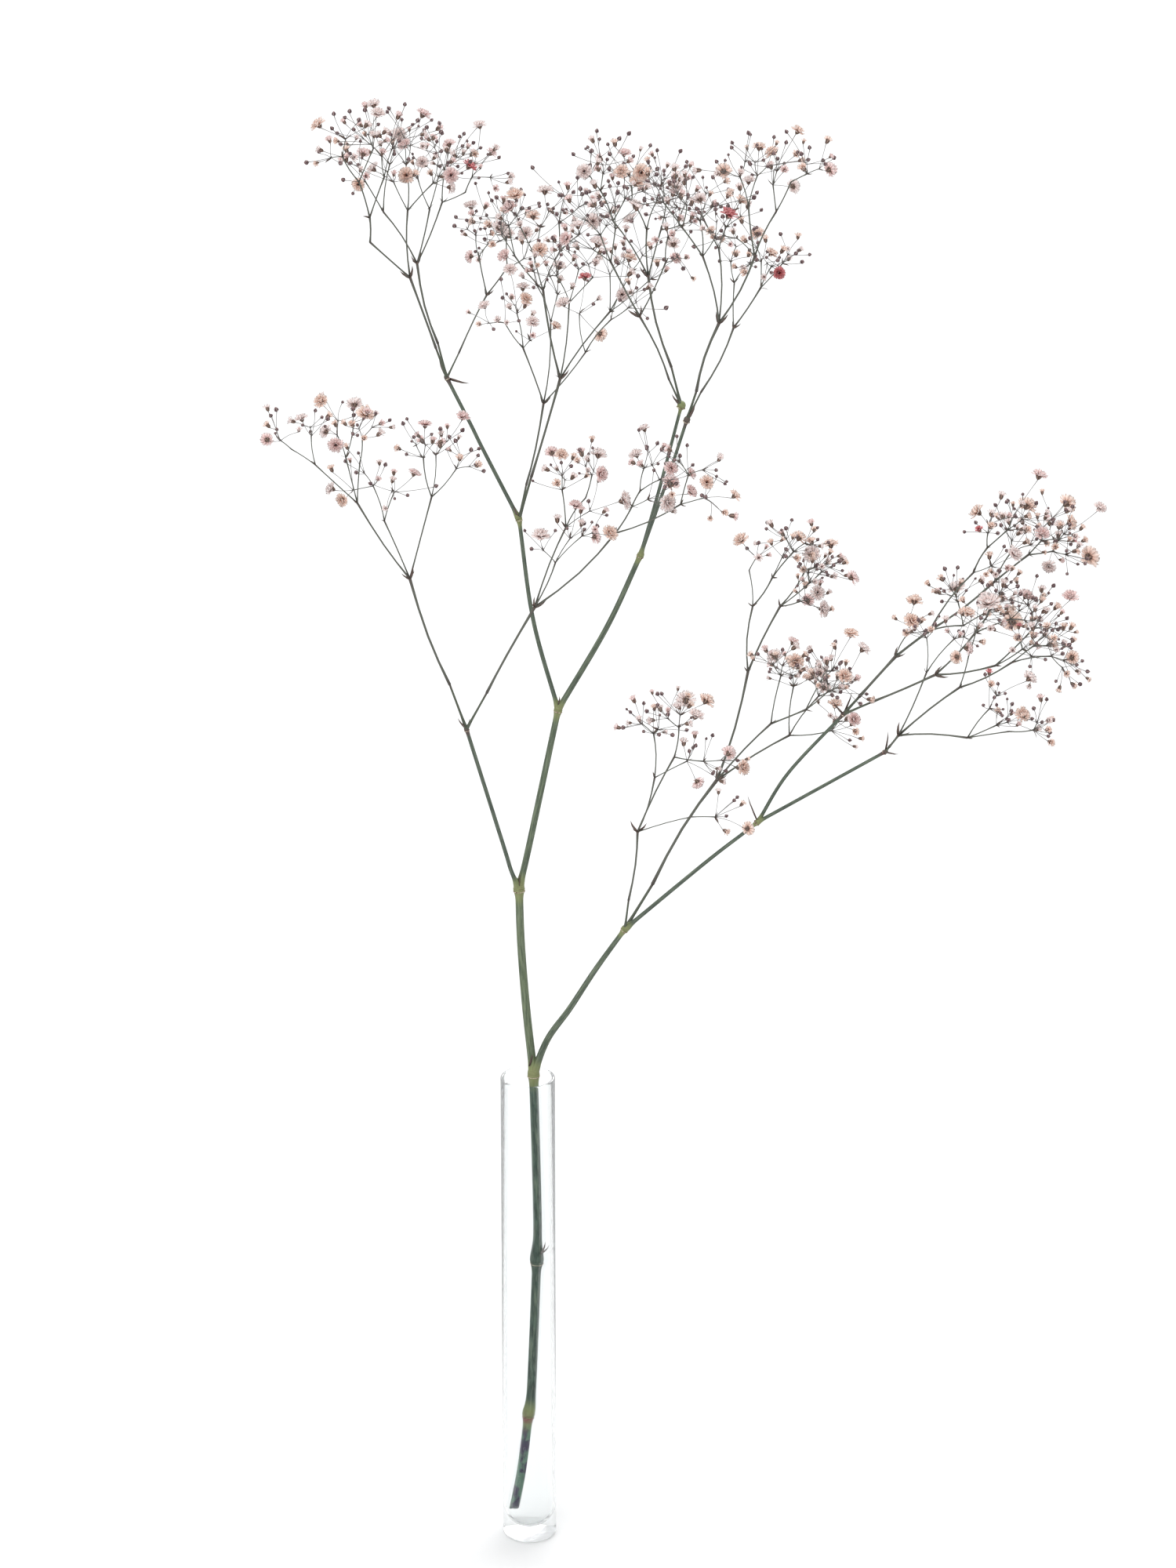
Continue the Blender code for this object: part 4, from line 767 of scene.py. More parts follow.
# The largest open flowers: where each is seen, and its width in pixels
OPEN_FLOWERS = [
    (407, 160, 18), (477, 135, 17), (481, 146, 17), (441, 204, 17), (463, 197, 16), (477, 216, 16),
    (457, 236, 15), (509, 172, 16), (517, 186, 16), (519, 224, 18), (539, 208, 15), (539, 147, 18),
    (580, 134, 14), (573, 185, 15), (598, 213, 18), (575, 224, 18), (573, 239, 15), (612, 161, 16),
    (626, 196, 14), (601, 264, 17), (657, 251, 20), (651, 266, 18), (695, 245, 18), (636, 293, 21),
    (680, 277, 16), (671, 299, 17), (601, 327, 15), (645, 327, 17), (689, 320, 18), (723, 305, 16),
    (737, 289, 16), (756, 283, 18), (764, 311, 21), (713, 341, 16), (651, 345, 15), (667, 368, 16),
    (670, 382, 15), (618, 391, 14), (679, 412, 15), (708, 417, 14), (719, 388, 17), (746, 355, 15),
    (765, 426, 16), (793, 376, 15), (803, 331, 16), (796, 197, 16), (745, 219, 17), (793, 220, 17),
    (817, 220, 19), (812, 233, 18), (862, 239, 17), (923, 219, 17), (893, 255, 16), (810, 263, 17),
    (805, 281, 18), (762, 312, 18), (859, 312, 16), (860, 331, 15), (929, 275, 20), (908, 296, 15),
    (945, 257, 15), (955, 232, 16), (966, 299, 16), (1017, 168, 16), (968, 189, 16), (985, 195, 15),
    (1057, 217, 17), (1011, 238, 16), (983, 324, 15), (993, 348, 14), (341, 561, 15), (410, 513, 17),
    (385, 535, 15), (416, 551, 15), (428, 567, 17), (452, 517, 18), (465, 530, 20), (519, 557, 17),
    (542, 543, 16), (590, 533, 16), (528, 605, 15), (424, 624, 17), (438, 637, 16), (690, 685, 20),
    (704, 578, 16), (716, 581, 15), (763, 581, 18), (765, 605, 18), (734, 646, 16), (758, 685, 15),
    (777, 681, 18), (794, 639, 22), (812, 581, 16), (822, 548, 14), (855, 598, 16), (855, 618, 21),
    (850, 641, 20), (880, 628, 16), (880, 605, 15), (901, 616, 16), (936, 633, 15), (875, 894, 22),
    (900, 895, 19), (887, 914, 19), (929, 961, 17), (946, 979, 18), (889, 997, 16), (953, 1057, 16),
    (946, 690, 18), (1019, 687, 18), (1060, 696, 18), (1036, 708, 20), (1086, 737, 18), (1048, 777, 19),
    (1042, 757, 17), (1030, 766, 15), (1085, 810, 17), (1100, 829, 18), (989, 838, 18), (1011, 820, 15),
    (1014, 845, 20), (1045, 859, 16), (1076, 863, 17), (1051, 878, 16), (1065, 900, 18), (1088, 918, 17),
    (1248, 654, 20), (1325, 608, 19), (1289, 644, 20), (1309, 646, 22), (1360, 643, 22), (1402, 649, 16),
    (1364, 667, 18), (1329, 682, 18), (1388, 711, 24), (1293, 708, 18), (1338, 721, 16), (1166, 768, 18),
    (1162, 793, 19), (1220, 752, 20), (1261, 771, 26), (1234, 783, 17), (1291, 794, 24), (1308, 761, 18),
    (1365, 762, 18), (1340, 822, 19), (1367, 839, 16), (1312, 866, 18), (1233, 827, 16), (1221, 838, 15),
    (1303, 912, 18),
]

# The bracts at the main stem's joints: the joint, the tip's pixel and depth, and the half width
BRACTS = [
    ("upper_left", (597, 493, 44), 0.9),
    ("upper_left", (558, 463, 44), 0.7),
    ("right_crown_right", (889, 521, -12), 1.0),
    ("right_crown_left", (856, 507, 9), 0.8),
    ("middle", (653, 648, 24), 0.7),
    ("left_arm", (603, 916, -9), 0.7),
    ("left_arm", (583, 920, -19), 0.7),
    ("right_arm", (803, 1168, -3), 0.8),
    ("right_fork", (951, 1016, -24), 0.6),
    ("far_right_upper", (1091, 883, -4), 0.8),
    ("far_right_upper", (1062, 899, -12), 0.7),
    ("far_right_lower", (1136, 935, -44), 0.7),
    ("far_right_lower", (1148, 966, -36), 0.7),
]

# Gaps between neighbours, and how often a place is tried for each kind of growth
BLOOM_GAP = 0.35 * MM
TWIG_GAP = 0.35 * MM
PEDICEL_GAP = 0.25 * MM
OPEN_TRIES = 30
BLOOM_TRIES = 40
TWIG_TRIES = 24
PEDICEL_TRIES = 20
PEDICEL_STEP = 0.4 * MM
# The room that growth takes: the shares of a twig between which it needs some, the most rods that it holds,
# and the smallest squares that are divided by
ROOM_START = 0.3
ROOM_END = 0.9
ROOM_ROWS = 12000
NO_LENGTH = 1e-12
PARALLEL = 1e-18

# Twigs and pedicels: their radii and lengths, the angles between them, and the small bracts at their forks
STALK_SHARE = 0.3
SPRAY_RADIUS = 0.55 * MM
TWIG_RADIUS = 0.48 * MM
PEDICEL_RADIUS = 0.42 * MM
TWIG_TAPER = 0.9
LEAST_FORK_ANGLE = math.radians(30)
NARROW_FORK_FINE = 1
TWIG_STRETCH = 0.52
STRETCH_SPREAD = (0.75, 1.1)
FIRST_SWAY = 3
SWAY_STEP = 2
SHORTEST_PEDICEL = 3.6 * MM
LEAST_BLOOM_DISTANCE = SHORTEST_PEDICEL * 1.2
LEAST_FOOT_DISTANCE = SHORTEST_PEDICEL * 0.8
BRACT_LENGTH = 3.4 * MM
BRACT_RISE = 0.8
BRACT_LEAN = 0.6
BRACT_FREE_FROM = 0.4

# Blooms. A bloom's foot depth and furthest point are counted in its radii from its middle.
BLOOM_SHARE = 0.75
MOST_OPEN = 0.7
HALF_OPEN_SHARE = 0.32
BLOOM_RADII = {"bud": 0.95 * MM, "half_open": 1.9 * MM}
RADIUS_SPREAD = (0.85, 1.15)
BLOOM_REACH = {"bud": (0.6, 1.05), "half_open": (0.45, 0.85)}
FOOT_DEPTH = {"open": 0.45, "half_open": 0.8, "bud": 1.0}
FURTHEST = {"open": 1.03, "half_open": 1.35, "bud": 1.22}
DEPTH_SPREAD = 0.7
WIDEST_CYME_ANGLE = math.radians(72)
BLOOM_LEAN = math.radians(24)
HEART_SHARE = 0.5
HEART_RISE = 0.2
UP = Vector((0, 0, 1))
UPWARD_PULL = UP * 0.35
SEED = 17


class Twig:
    """A stretch of a spray up to its end, with what grows from that end or the bloom that it carries."""

    def __init__(self, end, bloom=None):
        self.end = end
        self.bloom = bloom
        self.kids = []


class Bloom:
    """An open flower, a half-open one or a bud, at the place of its middle."""

    def __init__(self, kind, middle, radius, pixel=None):
        self.kind = kind
        self.middle = middle
        self.radius = radius
        self.pixel = pixel
        self.outer_radius = radius * FURTHEST[kind]

    def take_room(self, room):
        self.place = room.fill(self.middle, self.middle, self.outer_radius)

    def free(self, room):
        """The clearance that it has where it is now."""
        return room.clearance(self.middle, self.middle, self.outer_radius)

    def face(self, start, draw):
        """Turns the bloom on along its pedicel, with a random lean, and gives the pedicel's end under it."""
        self.axis = random_direction(pulled_up(start, self.middle), BLOOM_LEAN, draw)
        return self.middle - self.axis * self.radius * FOOT_DEPTH[self.kind]


class Room:
    """The space that stems and blooms already fill, so that a new one is grown clear of them."""

    def __init__(self):
        self.starts = np.zeros((ROOM_ROWS, 3))
        self.ends = np.zeros((ROOM_ROWS, 3))
        self.radii = np.zeros(ROOM_ROWS)
        self.count = 0

    def fill(self, start, end, radius):
        self.starts[self.count] = start
        self.ends[self.count] = end
        self.radii[self.count] = radius
        self.count += 1
        return self.count - 1

    def empty(self, place):
        """Frees a place again: with this radius, nothing is ever near it."""
        self.radii[place] = -1

    def clearance(self, start, end, radius):
        """The least distance from a rod of this radius to all that is filled."""
        a = self.starts[: self.count]
        along = self.ends[: self.count] - a
        p = np.array(start)
        rod = np.array(end) - p
        between = a - p
        rod_rod = max(rod @ rod, NO_LENGTH)
        along_along = np.maximum((along * along).sum(axis=1), NO_LENGTH)
        rod_along = along @ rod
        rod_between = between @ rod
        along_between = (along * between).sum(axis=1)
        spread = np.maximum(rod_rod * along_along - rod_along**2, PARALLEL)
        s = np.clip((rod_between * along_along - along_between * rod_along) / spread, 0, 1)
        t = np.clip((s * rod_along - along_between) / along_along, 0, 1)
        s = np.clip((rod_between + t * rod_along) / rod_rod, 0, 1)
        apart = between + t[:, None] * along - s[:, None] * rod
        return float((np.sqrt((apart * apart).sum(axis=1)) - self.radii[: self.count]).min() - radius)

    def clear_beyond(self, start, end, radius):
        """The clearance of a twig or pedicel, past its first stretch out of the fork."""
        return self.clearance(start.lerp(end, ROOM_START), end, radius)


def random_direction(axis, widest, draw):
    """A direction within the widest angle of the axis."""
    rise = 1 - draw.random() * (1 - math.cos(widest))
    turn = draw.random() * math.tau
    out = math.sqrt(max(0, 1 - rise * rise))
    local = Vector((out * math.cos(turn), out * math.sin(turn), rise))
    return axis.to_track_quat("Z", "Y") @ local


def pulled_up(start, end):
    """The direction from start to end, drawn a little upwards."""
    return ((end - start).normalized() + UPWARD_PULL).normalized()


def small_bloom(half_open_share, radius_spread, draw):
    """The kind and radius of a bloom that isn't fully open."""
    kind = "half_open" if draw.random() < half_open_share else "bud"
    return kind, BLOOM_RADII[kind] * draw.uniform(*radius_spread)


def cymes_of(shape, before=None):
    """Every cyme of a spray, with its heart: the pixel half of its reach beyond its end."""
    if "twigs" in shape:
        return [tip for twig in shape["twigs"] for tip in cymes_of(twig, shape["pixel"])]
    run = math.dist(shape["pixel"], before)
    ahead = HEART_SHARE * shape["reach"] * MM / PIXEL
    u, v = (here + (here - there) / run * ahead for here, there in zip(shape["pixel"], before))
    shape["heart"] = (u, v - HEART_RISE * ahead)
    return [shape]


def share_out_open_flowers(cymes):
    """Gives each open flower to the cyme whose heart is nearest to it in the picture."""
    for u, v, width in OPEN_FLOWERS:
        def distance(tip):
            full = len(tip["open"]) >= MOST_OPEN * tip["blooms"]
            return full, math.dist((u, v), tip["heart"])

        min(cymes, key=distance)["open"].append((u, v, width))


def place_blooms(tip, start, room, draw):
    """The blooms of one cyme: its open flowers where the picture shows them, then half-open ones and buds."""
    end = tip["end"]
    heading = pulled_up(start, end)
    blooms = []
    for u, v, width in tip["open"]:
        radius = width * PIXEL / 2
        for turn in range(OPEN_TRIES):
            spread = tip["reach"] * (1 + turn / OPEN_TRIES)
            depth = tip["depth"] + draw.uniform(-DEPTH_SPREAD, DEPTH_SPREAD) * spread
            bloom = Bloom("open", spot(u, v, depth), radius, (u, v))
            far_enough = (bloom.middle - end).length > radius + SHORTEST_PEDICEL
            if far_enough and bloom.free(room) > BLOOM_GAP:
                bloom.take_room(room)
                blooms.append(bloom)
                break
    wanted = round(tip["blooms"] * BLOOM_SHARE)
    while len(blooms) < wanted:
        kind, radius = small_bloom(HALF_OPEN_SHARE, RADIUS_SPREAD, draw)
        for _ in range(BLOOM_TRIES):
            reach = tip["reach"] * MM * draw.uniform(*BLOOM_REACH[kind])
            direction = random_direction(heading, WIDEST_CYME_ANGLE, draw)
            bloom = Bloom(kind, end + direction * max(reach, radius + LEAST_BLOOM_DISTANCE), radius)
            if bloom.free(room) > BLOOM_GAP:
                bloom.take_room(room)
                blooms.append(bloom)
                break
        else:
            wanted -= 1
    return blooms


def parted(way, ways):
    """Whether this way leaves a fork clear of the other ways."""
    return all(way.angle(other) > LEAST_FORK_ANGLE for other in ways)


def pedicel(start, bloom, ways, room, draw):
    """Hangs the bloom on its stalk. Where other growth is in the way, the bloom moves, along the line of
    sight if it is open, or else it is left out."""
    room.empty(bloom.place)
    wanted = bloom.middle.copy()
    sight = (wanted - VIEW_POINT).normalized()
    for turn in range(PEDICEL_TRIES):
        if turn and bloom.kind == "open":
            bloom.middle = wanted + sight * draw.uniform(-1, 1) * turn * PEDICEL_STEP
        elif turn:
            bloom.middle = wanted + random_direction(UP, math.pi, draw) * turn * PEDICEL_STEP
        foot = bloom.face(start, draw)
        if (foot - start).length <= LEAST_FOOT_DISTANCE or not parted(foot - start, ways):
            continue
        free = min(bloom.free(room), room.clear_beyond(start, foot, PEDICEL_RADIUS))
        if free > PEDICEL_GAP:
            ways.append(foot - start)
            bloom.take_room(room)
            room.fill(start.lerp(foot, ROOM_START), start.lerp(foot, ROOM_END), PEDICEL_RADIUS)
            return [Twig(foot, bloom)]
    return []


def two_ways(blooms, start):
    """Parts the blooms in two, across the direction in which they spread most as seen from the start."""
    lines = np.array([(bloom.middle - start).normalized() for bloom in blooms])
    spread = np.linalg.svd(lines - lines.mean(axis=0))[2][0]
    ordered = [blooms[i] for i in np.argsort(lines @ spread, kind="stable")]
    half = len(ordered) // 2
    return ordered[:half], ordered[half:]


def branch_out(start, back, blooms, radius, room, draw):
    """Grows a cyme: the nearest bloom stands in the fork, and the others part two ways and fork again."""
    ways = [back]
    if len(blooms) <= 2:
        return [twig for bloom in blooms for twig in pedicel(start, bloom, ways, room, draw)]
    by_distance = sorted(blooms, key=lambda bloom: (bloom.middle - start).length)
    twigs = pedicel(start, by_distance[0], ways, room, draw)
    for group in two_ways(by_distance[1:], start):
        if len(group) == 1:
            twigs += pedicel(start, group[0], ways, room, draw)
            continue
        centre = sum((bloom.middle for bloom in group), Vector()) / len(group)
        nearest = min((bloom.middle - start).length - bloom.radius for bloom in group)
        stretch = min(TWIG_STRETCH * (centre - start).length, nearest - SHORTEST_PEDICEL)
        stretch = max(stretch, SHORTEST_PEDICEL)
        heading = (centre - start).normalized()
        best = None
        for turn in range(TWIG_TRIES):
            way = random_direction(heading, math.radians(FIRST_SWAY + SWAY_STEP * turn), draw)
            end = start + way * max(stretch * draw.uniform(*STRETCH_SPREAD), SHORTEST_PEDICEL)
            free = room.clear_beyond(start, end, radius)
            if not parted(way, ways):
                free -= NARROW_FORK_FINE
            if best is None or free > best[0]:
                best = (free, end)
            if free > TWIG_GAP:
                break
        if best[0] < 0:
            for bloom in group:
                room.empty(bloom.place)
            continue
        twig = Twig(best[1])
        ways.append(twig.end - start)
        room.fill(start.lerp(twig.end, ROOM_START), twig.end, radius)
        thinner = max(radius * TWIG_TAPER, PEDICEL_RADIUS)
        twig.kids = branch_out(twig.end, start - twig.end, group, thinner, room, draw)
        if twig.kids:
            twigs.append(twig)
    return twigs


def fill_forks(shape, start, radius, room):
    """Fills the room that the spray's forks take, before any bloom is placed."""
    room.fill(start, shape["end"], radius)
    for twig in shape.get("twigs", ()):
        fill_forks(twig, shape["end"], TWIG_RADIUS, room)


def place_all_blooms(shape, start, room, draw, placed):
    """Places the blooms of all of the spray's cymes, listed by their pixels."""
    for kid in shape.get("twigs", ()):
        place_all_blooms(kid, shape["end"], room, draw, placed)
    if "twigs" not in shape:
        placed[shape["pixel"]] = place_blooms(shape, start, room, draw)


def keep_bract_room(start, twig, room):
    """Fills the room of the small bract beside a fork, which points away from both kids, if it is free."""
    axis = (twig.end - start).normalized()
    ways = [(kid.end - twig.end).normalized() for kid in twig.kids]
    off = ways[0].cross(ways[1]).normalized()
    if off.y > 0:
        off = -off
    reach = (axis * BRACT_RISE + off * BRACT_LEAN).normalized() * BRACT_LENGTH
    line = (twig.end + reach * BRACT_FREE_FROM, twig.end + reach, PEDICEL_RADIUS)
    if room.clearance(*line) >= PEDICEL_GAP:
        room.fill(*line)


def grow_spray(shape, start, room, draw, placed):
    """The spray's twigs, from its first stretch to its blooms."""
    twig = Twig(shape["end"])
    if "twigs" in shape:
        kids = [grow_spray(kid, twig.end, room, draw, placed) for kid in shape["twigs"]]
        twig.kids = [kid for kid in kids if kid.kids]
        if len(twig.kids) == 2:
            keep_bract_room(start, twig, room)
    else:
        twig.kids = branch_out(twig.end, start - twig.end, placed[shape["pixel"]], TWIG_RADIUS, room, draw)
    return twig


room = Room()
draw = random.Random(SEED)
for low_joint, high_joint, first_radius, last_radius, bends in LENGTHS:
    places = length_places(low_joint, high_joint, bends)
    for start, end in zip(places, places[1:]):
        room.fill(start, end, max(first_radius, last_radius) * MM)
for joint, tip, width in BRACTS:
    room.fill(joint_place(joint), spot(*tip), width * MM)
share_out_open_flowers([tip for _, shape in SPRAYS.values() for tip in cymes_of(shape)])
for joint, shape in SPRAYS.values():
    fill_forks(shape, joint_place(joint), SPRAY_RADIUS, room)
placed = {}
for joint, shape in SPRAYS.values():
    place_all_blooms(shape, joint_place(joint), room, draw, placed)
sprays = {}
for name, (joint, shape) in SPRAYS.items():
    sprays[name] = grow_spray(shape, joint_place(joint), room, draw, placed)

# The last blooms. Beyond the solids' blooms, thin pedicels carry more small flowers and buds round each fork.
# The right-hand sprays are the fullest.
EXTRA_TRIES = 14
EXTRA_HALF_OPEN = 0.5
EXTRA_REACH = (5 * MM, 15 * MM)
EXTRA_ANGLE = math.radians(75)
THIN_PEDICEL = 0.12 * MM
LAST_BLOOM_SHARE = (0.65, 1.05)
LAST_BLOOMS = 2
LAST_BLOOMS_RIGHT = 4


def add_last_blooms(start, twig, extras, draw):
    """Grows more blooms from each fork beyond this twig, clear of all that is there."""
    heading = pulled_up(start, twig.end)
    carries_bloom = any(kid.bloom for kid in twig.kids)
    for kid in twig.kids:
        add_last_blooms(twig.end, kid, extras, draw)
    for _ in range(extras if carries_bloom else 0):
        kind, radius = small_bloom(EXTRA_HALF_OPEN, LAST_BLOOM_SHARE, draw)
        for _ in range(EXTRA_TRIES):
            way = random_direction(heading, EXTRA_ANGLE, draw)
            bloom = Bloom(kind, twig.end + way * draw.uniform(*EXTRA_REACH), radius)
            foot = bloom.face(twig.end, draw)
            free = min(bloom.free(room), room.clear_beyond(twig.end, foot, THIN_PEDICEL))
            if free > 0:
                bloom.take_room(room)
                twig.kids.append(Twig(foot, bloom))
                break


more = random.Random(SEED + 1)
for name, spray in sprays.items():
    extras = LAST_BLOOMS_RIGHT if "right_" in name and "top" not in name else LAST_BLOOMS
    add_last_blooms(joint_place(SPRAYS[name][0]), spray, extras, more)


# Bracts, petals, calyxes and buds. Each is modelled once at a size of 1, standing on the origin along +Z, and
# copied to its places. Their UV maps are cells of one square, so that a pattern follows every copy.
CELLS = 4
CELL_MARGIN = 0.02
# A blade's rows: how far along it each is, its half width and its height
PETAL_ROWS = [(0.0, 0.07, 0.0), (0.42, 0.15, 0.05), (0.80, 0.24, 0.09), (1.0, 0.19, 0.03)]
BRACT_ROWS = [(0.0, 0.10, 0.0), (0.3, 0.14, 0.05), (0.68, 0.09, 0.15), (1.0, 0.0, 0.30)]
BLADE_THICKNESS = 0.035
BLADE_CUP = 0.05
PETAL_NOTCH = 0.13
PETAL_WAVES = 0.055
NOTCHED_FROM = 0.99
WAVED_FROM = 0.6
PETAL_FORMS = 4
POINT_WIDTH = 1e-6
SAME_SPOT = 1e-5
SAME_RING = 1e-3
# A calyx's or bud's levels: height and radius
CALYX_LEVELS = [(0, 0), (0.03, 0.10), (0.16, 0.25), (0.36, 0.36), (0.50, 0.50), (0.40, 0)]
HALF_CALYX_LEVELS = [(0, 0), (0.03, 0.14), (0.32, 0.44), (0.75, 0.54), (1.0, 0.56), (0.8, 0)]
BUD_LEVELS = [(0, 0), (0.06, 0.30), (0.55, 0.88), (1.05, 0.92), (1.6, 0.58), (2.1, 0)]
FORM_SIDES = 10
# The tiers of an open flower's petals: how many, their length, lean off the axis in degrees, and foot height
PETAL_TIERS = [(11, 0.95, 78, 0.46), (11, 0.92, 57, 0.46), (10, 0.84, 38, 0.46), (8, 0.72, 18, 0.46)]
HALF_OPEN_TIERS = [(8, 1.12, 44, 0.74), (6, 1.05, 20, 0.80)]
PETAL_FOOT = 0.08
PETAL_SHIFT = 0.18
PETAL_LEAN = 11
PETAL_SIZES = (0.88, 1.06)
PETAL_ROLL = 0.35
HEADS = 5
HALF_HEADS = 3
TONES = ("pale", "dusty", "peach", "rose")


def pick_numbers(piece, numbers):
    """In edit mode, selects only the vertices of these numbers."""
    bpy.ops.mesh.select_all(action="DESELECT")
    bm = bmesh.from_edit_mesh(piece.data)
    bm.verts.ensure_lookup_table()
    for number in numbers:
        bm.verts[number].select_set(True)
    bmesh.update_edit_mesh(piece.data)


def blade(name, rows, notch, seed):
    """A thin closed blade along +Z, with its face to -Y, notched and waved at its tip if it is a petal."""
    piece = begin("grid", name, x_subdivisions=2, y_subdivisions=len(rows) - 1, size=1)
    for i, (along, half_width, rise) in enumerate(rows):
        pick_numbers(piece, range(3 * i, 3 * i + 3))
        bpy.ops.transform.resize(value=(half_width * 2 + POINT_WIDTH, 1, 1))
        bpy.ops.transform.translate(value=(0, along + 0.5 - i / (len(rows) - 1), rise))
    pick(piece, "verts", lambda place: abs(place.x) < SAME_SPOT)
    bpy.ops.transform.translate(value=(0, 0, BLADE_CUP))
    if notch:
        pick(piece, "verts", lambda place: abs(place.x) < SAME_SPOT and place.y > NOTCHED_FROM)
        bpy.ops.transform.translate(value=(0, -notch, 0))
        pick(piece, "verts", lambda place: place.y > WAVED_FROM)
        bpy.ops.transform.vertex_random(offset=PETAL_WAVES, seed=seed)
    bpy.ops.object.mode_set(mode="OBJECT")
    inside = piece.vertex_groups.new(name="inside")
    inside.add([3 * i + 1 for i in range(1, len(rows) - 1)], 1.0, "REPLACE")
    solid = piece.modifiers.new("thickness", "SOLIDIFY")
    solid.thickness = BLADE_THICKNESS
    solid.vertex_group = "inside"
    solid.use_rim = False
    bpy.ops.object.modifier_apply(modifier="thickness")
    piece.vertex_groups.clear()
    bpy.ops.object.mode_set(mode="EDIT")
    weld(SAME_SPOT)
    leave_smooth()
    piece.data.transform(Matrix.Rotation(math.pi / 2, 4, "X"))
    return piece


def in_cell(piece, column, row):
    """Shrinks the piece's UV map into one cell of the square."""
    piece.data.uv_layers.active.name = "OFBake"
    change_uv(piece, lambda uv: (uv.clip(0, 1) * (1 - 2 * CELL_MARGIN) + CELL_MARGIN + (column, row)) / CELLS)


def copy_of(model, where):
    """A copy of a model with its own mesh, put in its place."""
    made = bpy.data.objects.new(model.name, model.data.copy())
    made.data.transform(where)
    bpy.context.collection.objects.link(made)
    return made


def round_form(name, levels, ribs, teeth, column):
    """A closed round form on the Z axis, from its levels. Every other side is drawn in by a share of the
    radius, and the last ring stands up in teeth between them."""
    piece = begin("uv_sphere", name, segments=FORM_SIDES, ring_count=len(levels) - 1, radius=1)
    places = [vertex.co.copy() for vertex in bmesh.from_edit_mesh(piece.data).verts]
    heights = sorted({round(place.z, 5) for place in places})
    sides = [math.ceil(math.atan2(place.y, place.x) / math.tau * FORM_SIDES) for place in places]
    for level, (was, (height, radius)) in enumerate(zip(heights, levels)):
        ring = [i for i, place in enumerate(places) if abs(place.z - was) < SAME_RING]
        dents = [i for i in ring if sides[i] % 2]
        pick_numbers(piece, ring)
        bpy.ops.transform.translate(value=(0, 0, height - was))
        if 0 < level < len(levels) - 1:
            wide = radius / math.sqrt(1 - was * was)
            bpy.ops.transform.resize(value=(wide, wide, 1), center_override=(0, 0, 0))
            pick_numbers(piece, dents)
            bpy.ops.transform.resize(value=(1 - ribs, 1 - ribs, 1), center_override=(0, 0, 0))
        if level == len(levels) - 2:
            pick_numbers(piece, set(ring) - set(dents))
            bpy.ops.transform.translate(value=(0, 0, teeth))
    leave_smooth()
    in_cell(piece, column, 0)
    return piece


def rosette(name, tiers, row, draw):
    """Petals copied in tiers round the axis, each tier with its own lean, and joined."""
    copies = []
    for tier, (count, length, lean, foot) in enumerate(tiers):
        for i in range(count):
            turn = math.tau * (i + 0.5 * (tier % 2) + draw.uniform(-PETAL_SHIFT, PETAL_SHIFT)) / count
            tilt = math.radians(lean + draw.uniform(-PETAL_LEAN, PETAL_LEAN))
            size = length * draw.uniform(*PETAL_SIZES)
            roll = math.pi / 2 + draw.uniform(-PETAL_ROLL, PETAL_ROLL)
            place = (
                Matrix.Rotation(turn, 4, "Z")
                @ Matrix.Translation((PETAL_FOOT, 0, foot))
                @ Matrix.Rotation(tilt, 4, "Y")
                @ Matrix.Rotation(roll, 4, "Z")
                @ Matrix.Scale(size, 4)
            )
            petal = copy_of(petals[draw.randrange(len(petals))], place)
            in_cell(petal, tier, row)
            copies.append(petal)
    return join(name, copies)


petals = [blade(f"petal {i}", PETAL_ROWS, PETAL_NOTCH, i + 1) for i in range(PETAL_FORMS)]
bract = blade("bract", BRACT_ROWS, 0, 1)
in_cell(bract, 3, 0)
calyx = round_form("calyx", CALYX_LEVELS, 0.30, 0.10, 0)
half_calyx = round_form("half open calyx", HALF_CALYX_LEVELS, 0.16, 0.30, 1)
bud = round_form("bud", BUD_LEVELS, 0.13, 0.0, 2)
forms = random.Random(SEED + 2)
open_heads = {}
half_heads = {}
for row, tone in enumerate(TONES):
    open_heads[tone] = [rosette(f"{tone} head", PETAL_TIERS, row, forms) for _ in range(HEADS)]
    half_heads[tone] = [rosette(f"{tone} tips", HALF_OPEN_TIERS, row, forms) for _ in range(HALF_HEADS)]

# The flowers' finish. Petals are papery, let light through, and are deepest at their foot and palest at their
# tip. Calyxes, buds and bracts have dark-nerved sepals with pale edges.
PETAL_COLOURS = {
    "pale": ((0.94, 0.76, 0.72), (0.985, 0.925, 0.91), (0.995, 0.98, 0.975)),
    "dusty": ((0.89, 0.63, 0.59), (0.97, 0.86, 0.845), (0.99, 0.95, 0.94)),
    "peach": ((0.92, 0.63, 0.51), (0.98, 0.875, 0.82), (0.99, 0.965, 0.945)),
    "rose": ((0.62, 0.15, 0.17), (0.84, 0.42, 0.43), (0.95, 0.74, 0.73)),
}
PETAL_GLOW = 0.55
SEPALS = 5
# Each husk: its name and models, then the colours of its nerves, the flanks beside them, its edges and its
# tip
HUSKS = [
    ("striped calyx", [calyx, half_calyx],
     (0.05, 0.022, 0.024), (0.16, 0.11, 0.075), (0.40, 0.24, 0.20), (0.14, 0.06, 0.06)),
    ("closed bud", [bud],
     (0.045, 0.024, 0.030), (0.13, 0.075, 0.078), (0.50, 0.38, 0.34), (0.27, 0.17, 0.165)),
    ("dry bract", [bract],
     (0.07, 0.04, 0.04), (0.13, 0.09, 0.07), (0.17, 0.12, 0.09), (0.09, 0.05, 0.05)),
]


